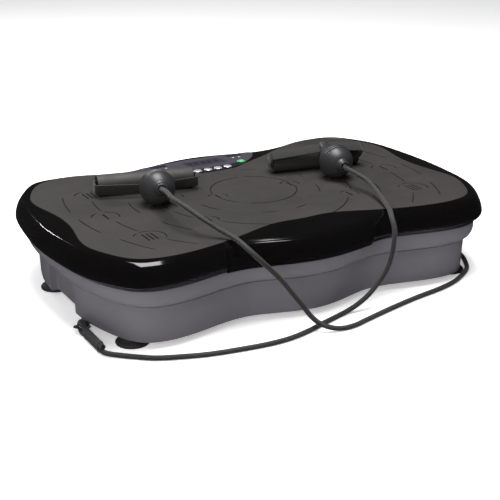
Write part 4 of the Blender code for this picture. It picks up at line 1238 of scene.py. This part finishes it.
def swept_tab(name, line, place):
    """Flat webbing of eased section swept round a closed line; UV in metres."""
    rings = []
    for i, point in enumerate(line):
        ahead = line[(i + 1) % len(line)] - line[i - 1]
        outward = Vector((ahead.y, -ahead.x)).normalized() * 0.0006
        rings.append([(*(point + outward * t), w) for t, w in (
            (-0.7, -0.0060), (0.7, -0.0060), (1.0, -0.0055), (1.0, 0.0055), (0.7, 0.0060),
            (-0.7, 0.0060), (-1.0, 0.0055), (-1.0, -0.0055))])
    piece = loft(name, rings, looped=True)
    layer = piece.data.uv_layers.new(name="UVMap")
    for loop, corner in zip(piece.data.loops, layer.data):
        co = piece.data.vertices[loop.vertex_index].co
        corner.uv = (co.z, co.x)
    piece.data.transform(place)
    return piece


# ---- CAD nodes that stay ----
KEPT_NODES = {
    "inlet_black": ("socket_plate", "power_inlet", "power_switch"),
    "zinc_steel": ("chassis_plate", "drive_yoke", "yoke_screw_inner", "yoke_screw_outer",
                   "pivot_shaft", "crankshaft", "motor_bracket", "motor_pulley"),
    "foot_rubber": ("buffer_1", "buffer_2", "buffer_3", "buffer_4"),
    "painted_steel": ("platform_frame", "pivot_block_front", "pivot_block_back",
                      "pillow_block_front", "pillow_block_back", "crank_pulley", "motor"),
    "belt_rubber": ("drive_belt",),
    "board_green": ("control_board", "display_board"),
}


# ---- Stage, lights, camera ----
CAMERA_PLACE = (-0.787, -1.3902, 0.639)
CAMERA_TARGET = (0, 0, 0.030)
CAMERA_LENS = 84.0
WORLD_COLOUR = (0.92, 0.95, 1.0, 1)
WORLD_STRENGTH = 0.03
FLOOR_GLOW = 0.34
# Name, place, target, width, height, power, and whether surfaces mirror it.
LIGHTS = (
    ("top_fill", (0.0, 0.2, 3.0), (0, 0, 0.1), 4.4, 4.0, 16, False),
    ("left_fill", (-2.0, -1.6, 1.0), (-0.1, 0, 0.05), 1.2, 1.0, 40, False),
    ("crest_box", (-0.10, -0.10, 2.4), (-0.10, -0.09, 0.12), 1.4, 1.9, 100, True),
    ("edge_box", (-0.34, 2.05, 1.22), (-0.32, -0.02, 0.12), 0.26, 0.18, 8, True),
    ("key_box", (-1.5, -0.5, 2.1), (-0.14, 0.0, 0.15), 0.6, 0.6, 9, False),
)


def make_floor():
    g = Graph("floor_paper")
    cloud = g.noise(3.0, 3.0)
    look = g.done(g.mix(cloud, (0.93, 0.93, 0.93), (0.95, 0.95, 0.95)), 0.8,
                  g.bump(g.noise(600.0, 2.0), 0.00002, 0.3), Emission_Color=(1, 1, 1, 1),
                  Emission_Strength=FLOOR_GLOW)
    bm = bmesh.new()
    bmesh.ops.create_grid(bm, x_segments=1, y_segments=1, size=14.0)
    floor = from_bmesh("floor", bm)
    floor.data.materials.append(look)
    floor.visible_glossy = False


def aimed(name, data, place, target):
    """Camera or light at a place, looking at the target."""
    obj = linked(name, data)
    obj.location = place
    obj.rotation_mode = "QUATERNION"
    obj.rotation_quaternion = (Vector(target) - obj.location).to_track_quat("-Z", "Y")
    return obj


def area_light(name, place, target, width, height, power, mirrored):
    """Soft box; a fill that isn't mirrored lights surfaces and leaves no reflection of itself."""
    light = bpy.data.lights.new(name, "AREA")
    light.shape = "RECTANGLE"
    light.size = width
    light.size_y = height
    light.energy = power
    aimed(name, light, place, target).visible_glossy = mirrored


def make_lights():
    world = bpy.data.worlds.new("studio")
    bpy.context.scene.world = world
    world.use_nodes = True
    background = world.node_tree.nodes["Background"]
    background.inputs["Color"].default_value = WORLD_COLOUR
    background.inputs["Strength"].default_value = WORLD_STRENGTH
    bpy.context.scene.view_settings.view_transform = "Standard"
    for light in LIGHTS:
        area_light(*light)


def make_camera():
    """Long lens from the front left, above the rim."""
    camera = aimed("camera", bpy.data.cameras.new("camera"), CAMERA_PLACE, CAMERA_TARGET)
    camera.data.lens = CAMERA_LENS
    camera.data.sensor_width = 36.0
    bpy.context.scene.camera = camera


make_camera()
make_lights()
make_floor()
sleeve_right = make_sleeve("band_sleeve_right", *SLEEVE_RIGHT)
sleeve_left = make_sleeve("band_sleeve_left", *SLEEVE_LEFT)
make_band("left", BAND_LEFT)
make_band("right", BAND_RIGHT)
make_ring_and_tab(-1, near=(-0.3040, -0.0940, 0.0112), tab_length=0.036)
make_ring_and_tab(1, near=(0.3040, -0.0415, 0.0112), tab_length=0.054)
make_cover()
make_apron()
make_mat()
make_panel()
for number, (button_x, button_y) in enumerate(BUTTONS):
    make_button(f"mode_button_{number + 1}", button_x, button_y, f"mode_key_{number + 1}",
                "silver_plastic", number)
make_button("power_button", *POWER_BUTTON, "power_key", "green_plastic", "power")
make_tub()
make_feet()
make_handle("left", centre=(-0.134, 0.068), heading=-12, roll=-6, reach=0.027, ball_x=0.0026,
            neck_tilt=12)
make_handle("right", centre=(0.136, 0.044), heading=-9, roll=50, reach=0.026, ball_x=0.0102,
            neck_tilt=0)
for node_look, node_names in KEPT_NODES.items():
    for node_name in node_names:
        dress(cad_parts[node_name], node_look)
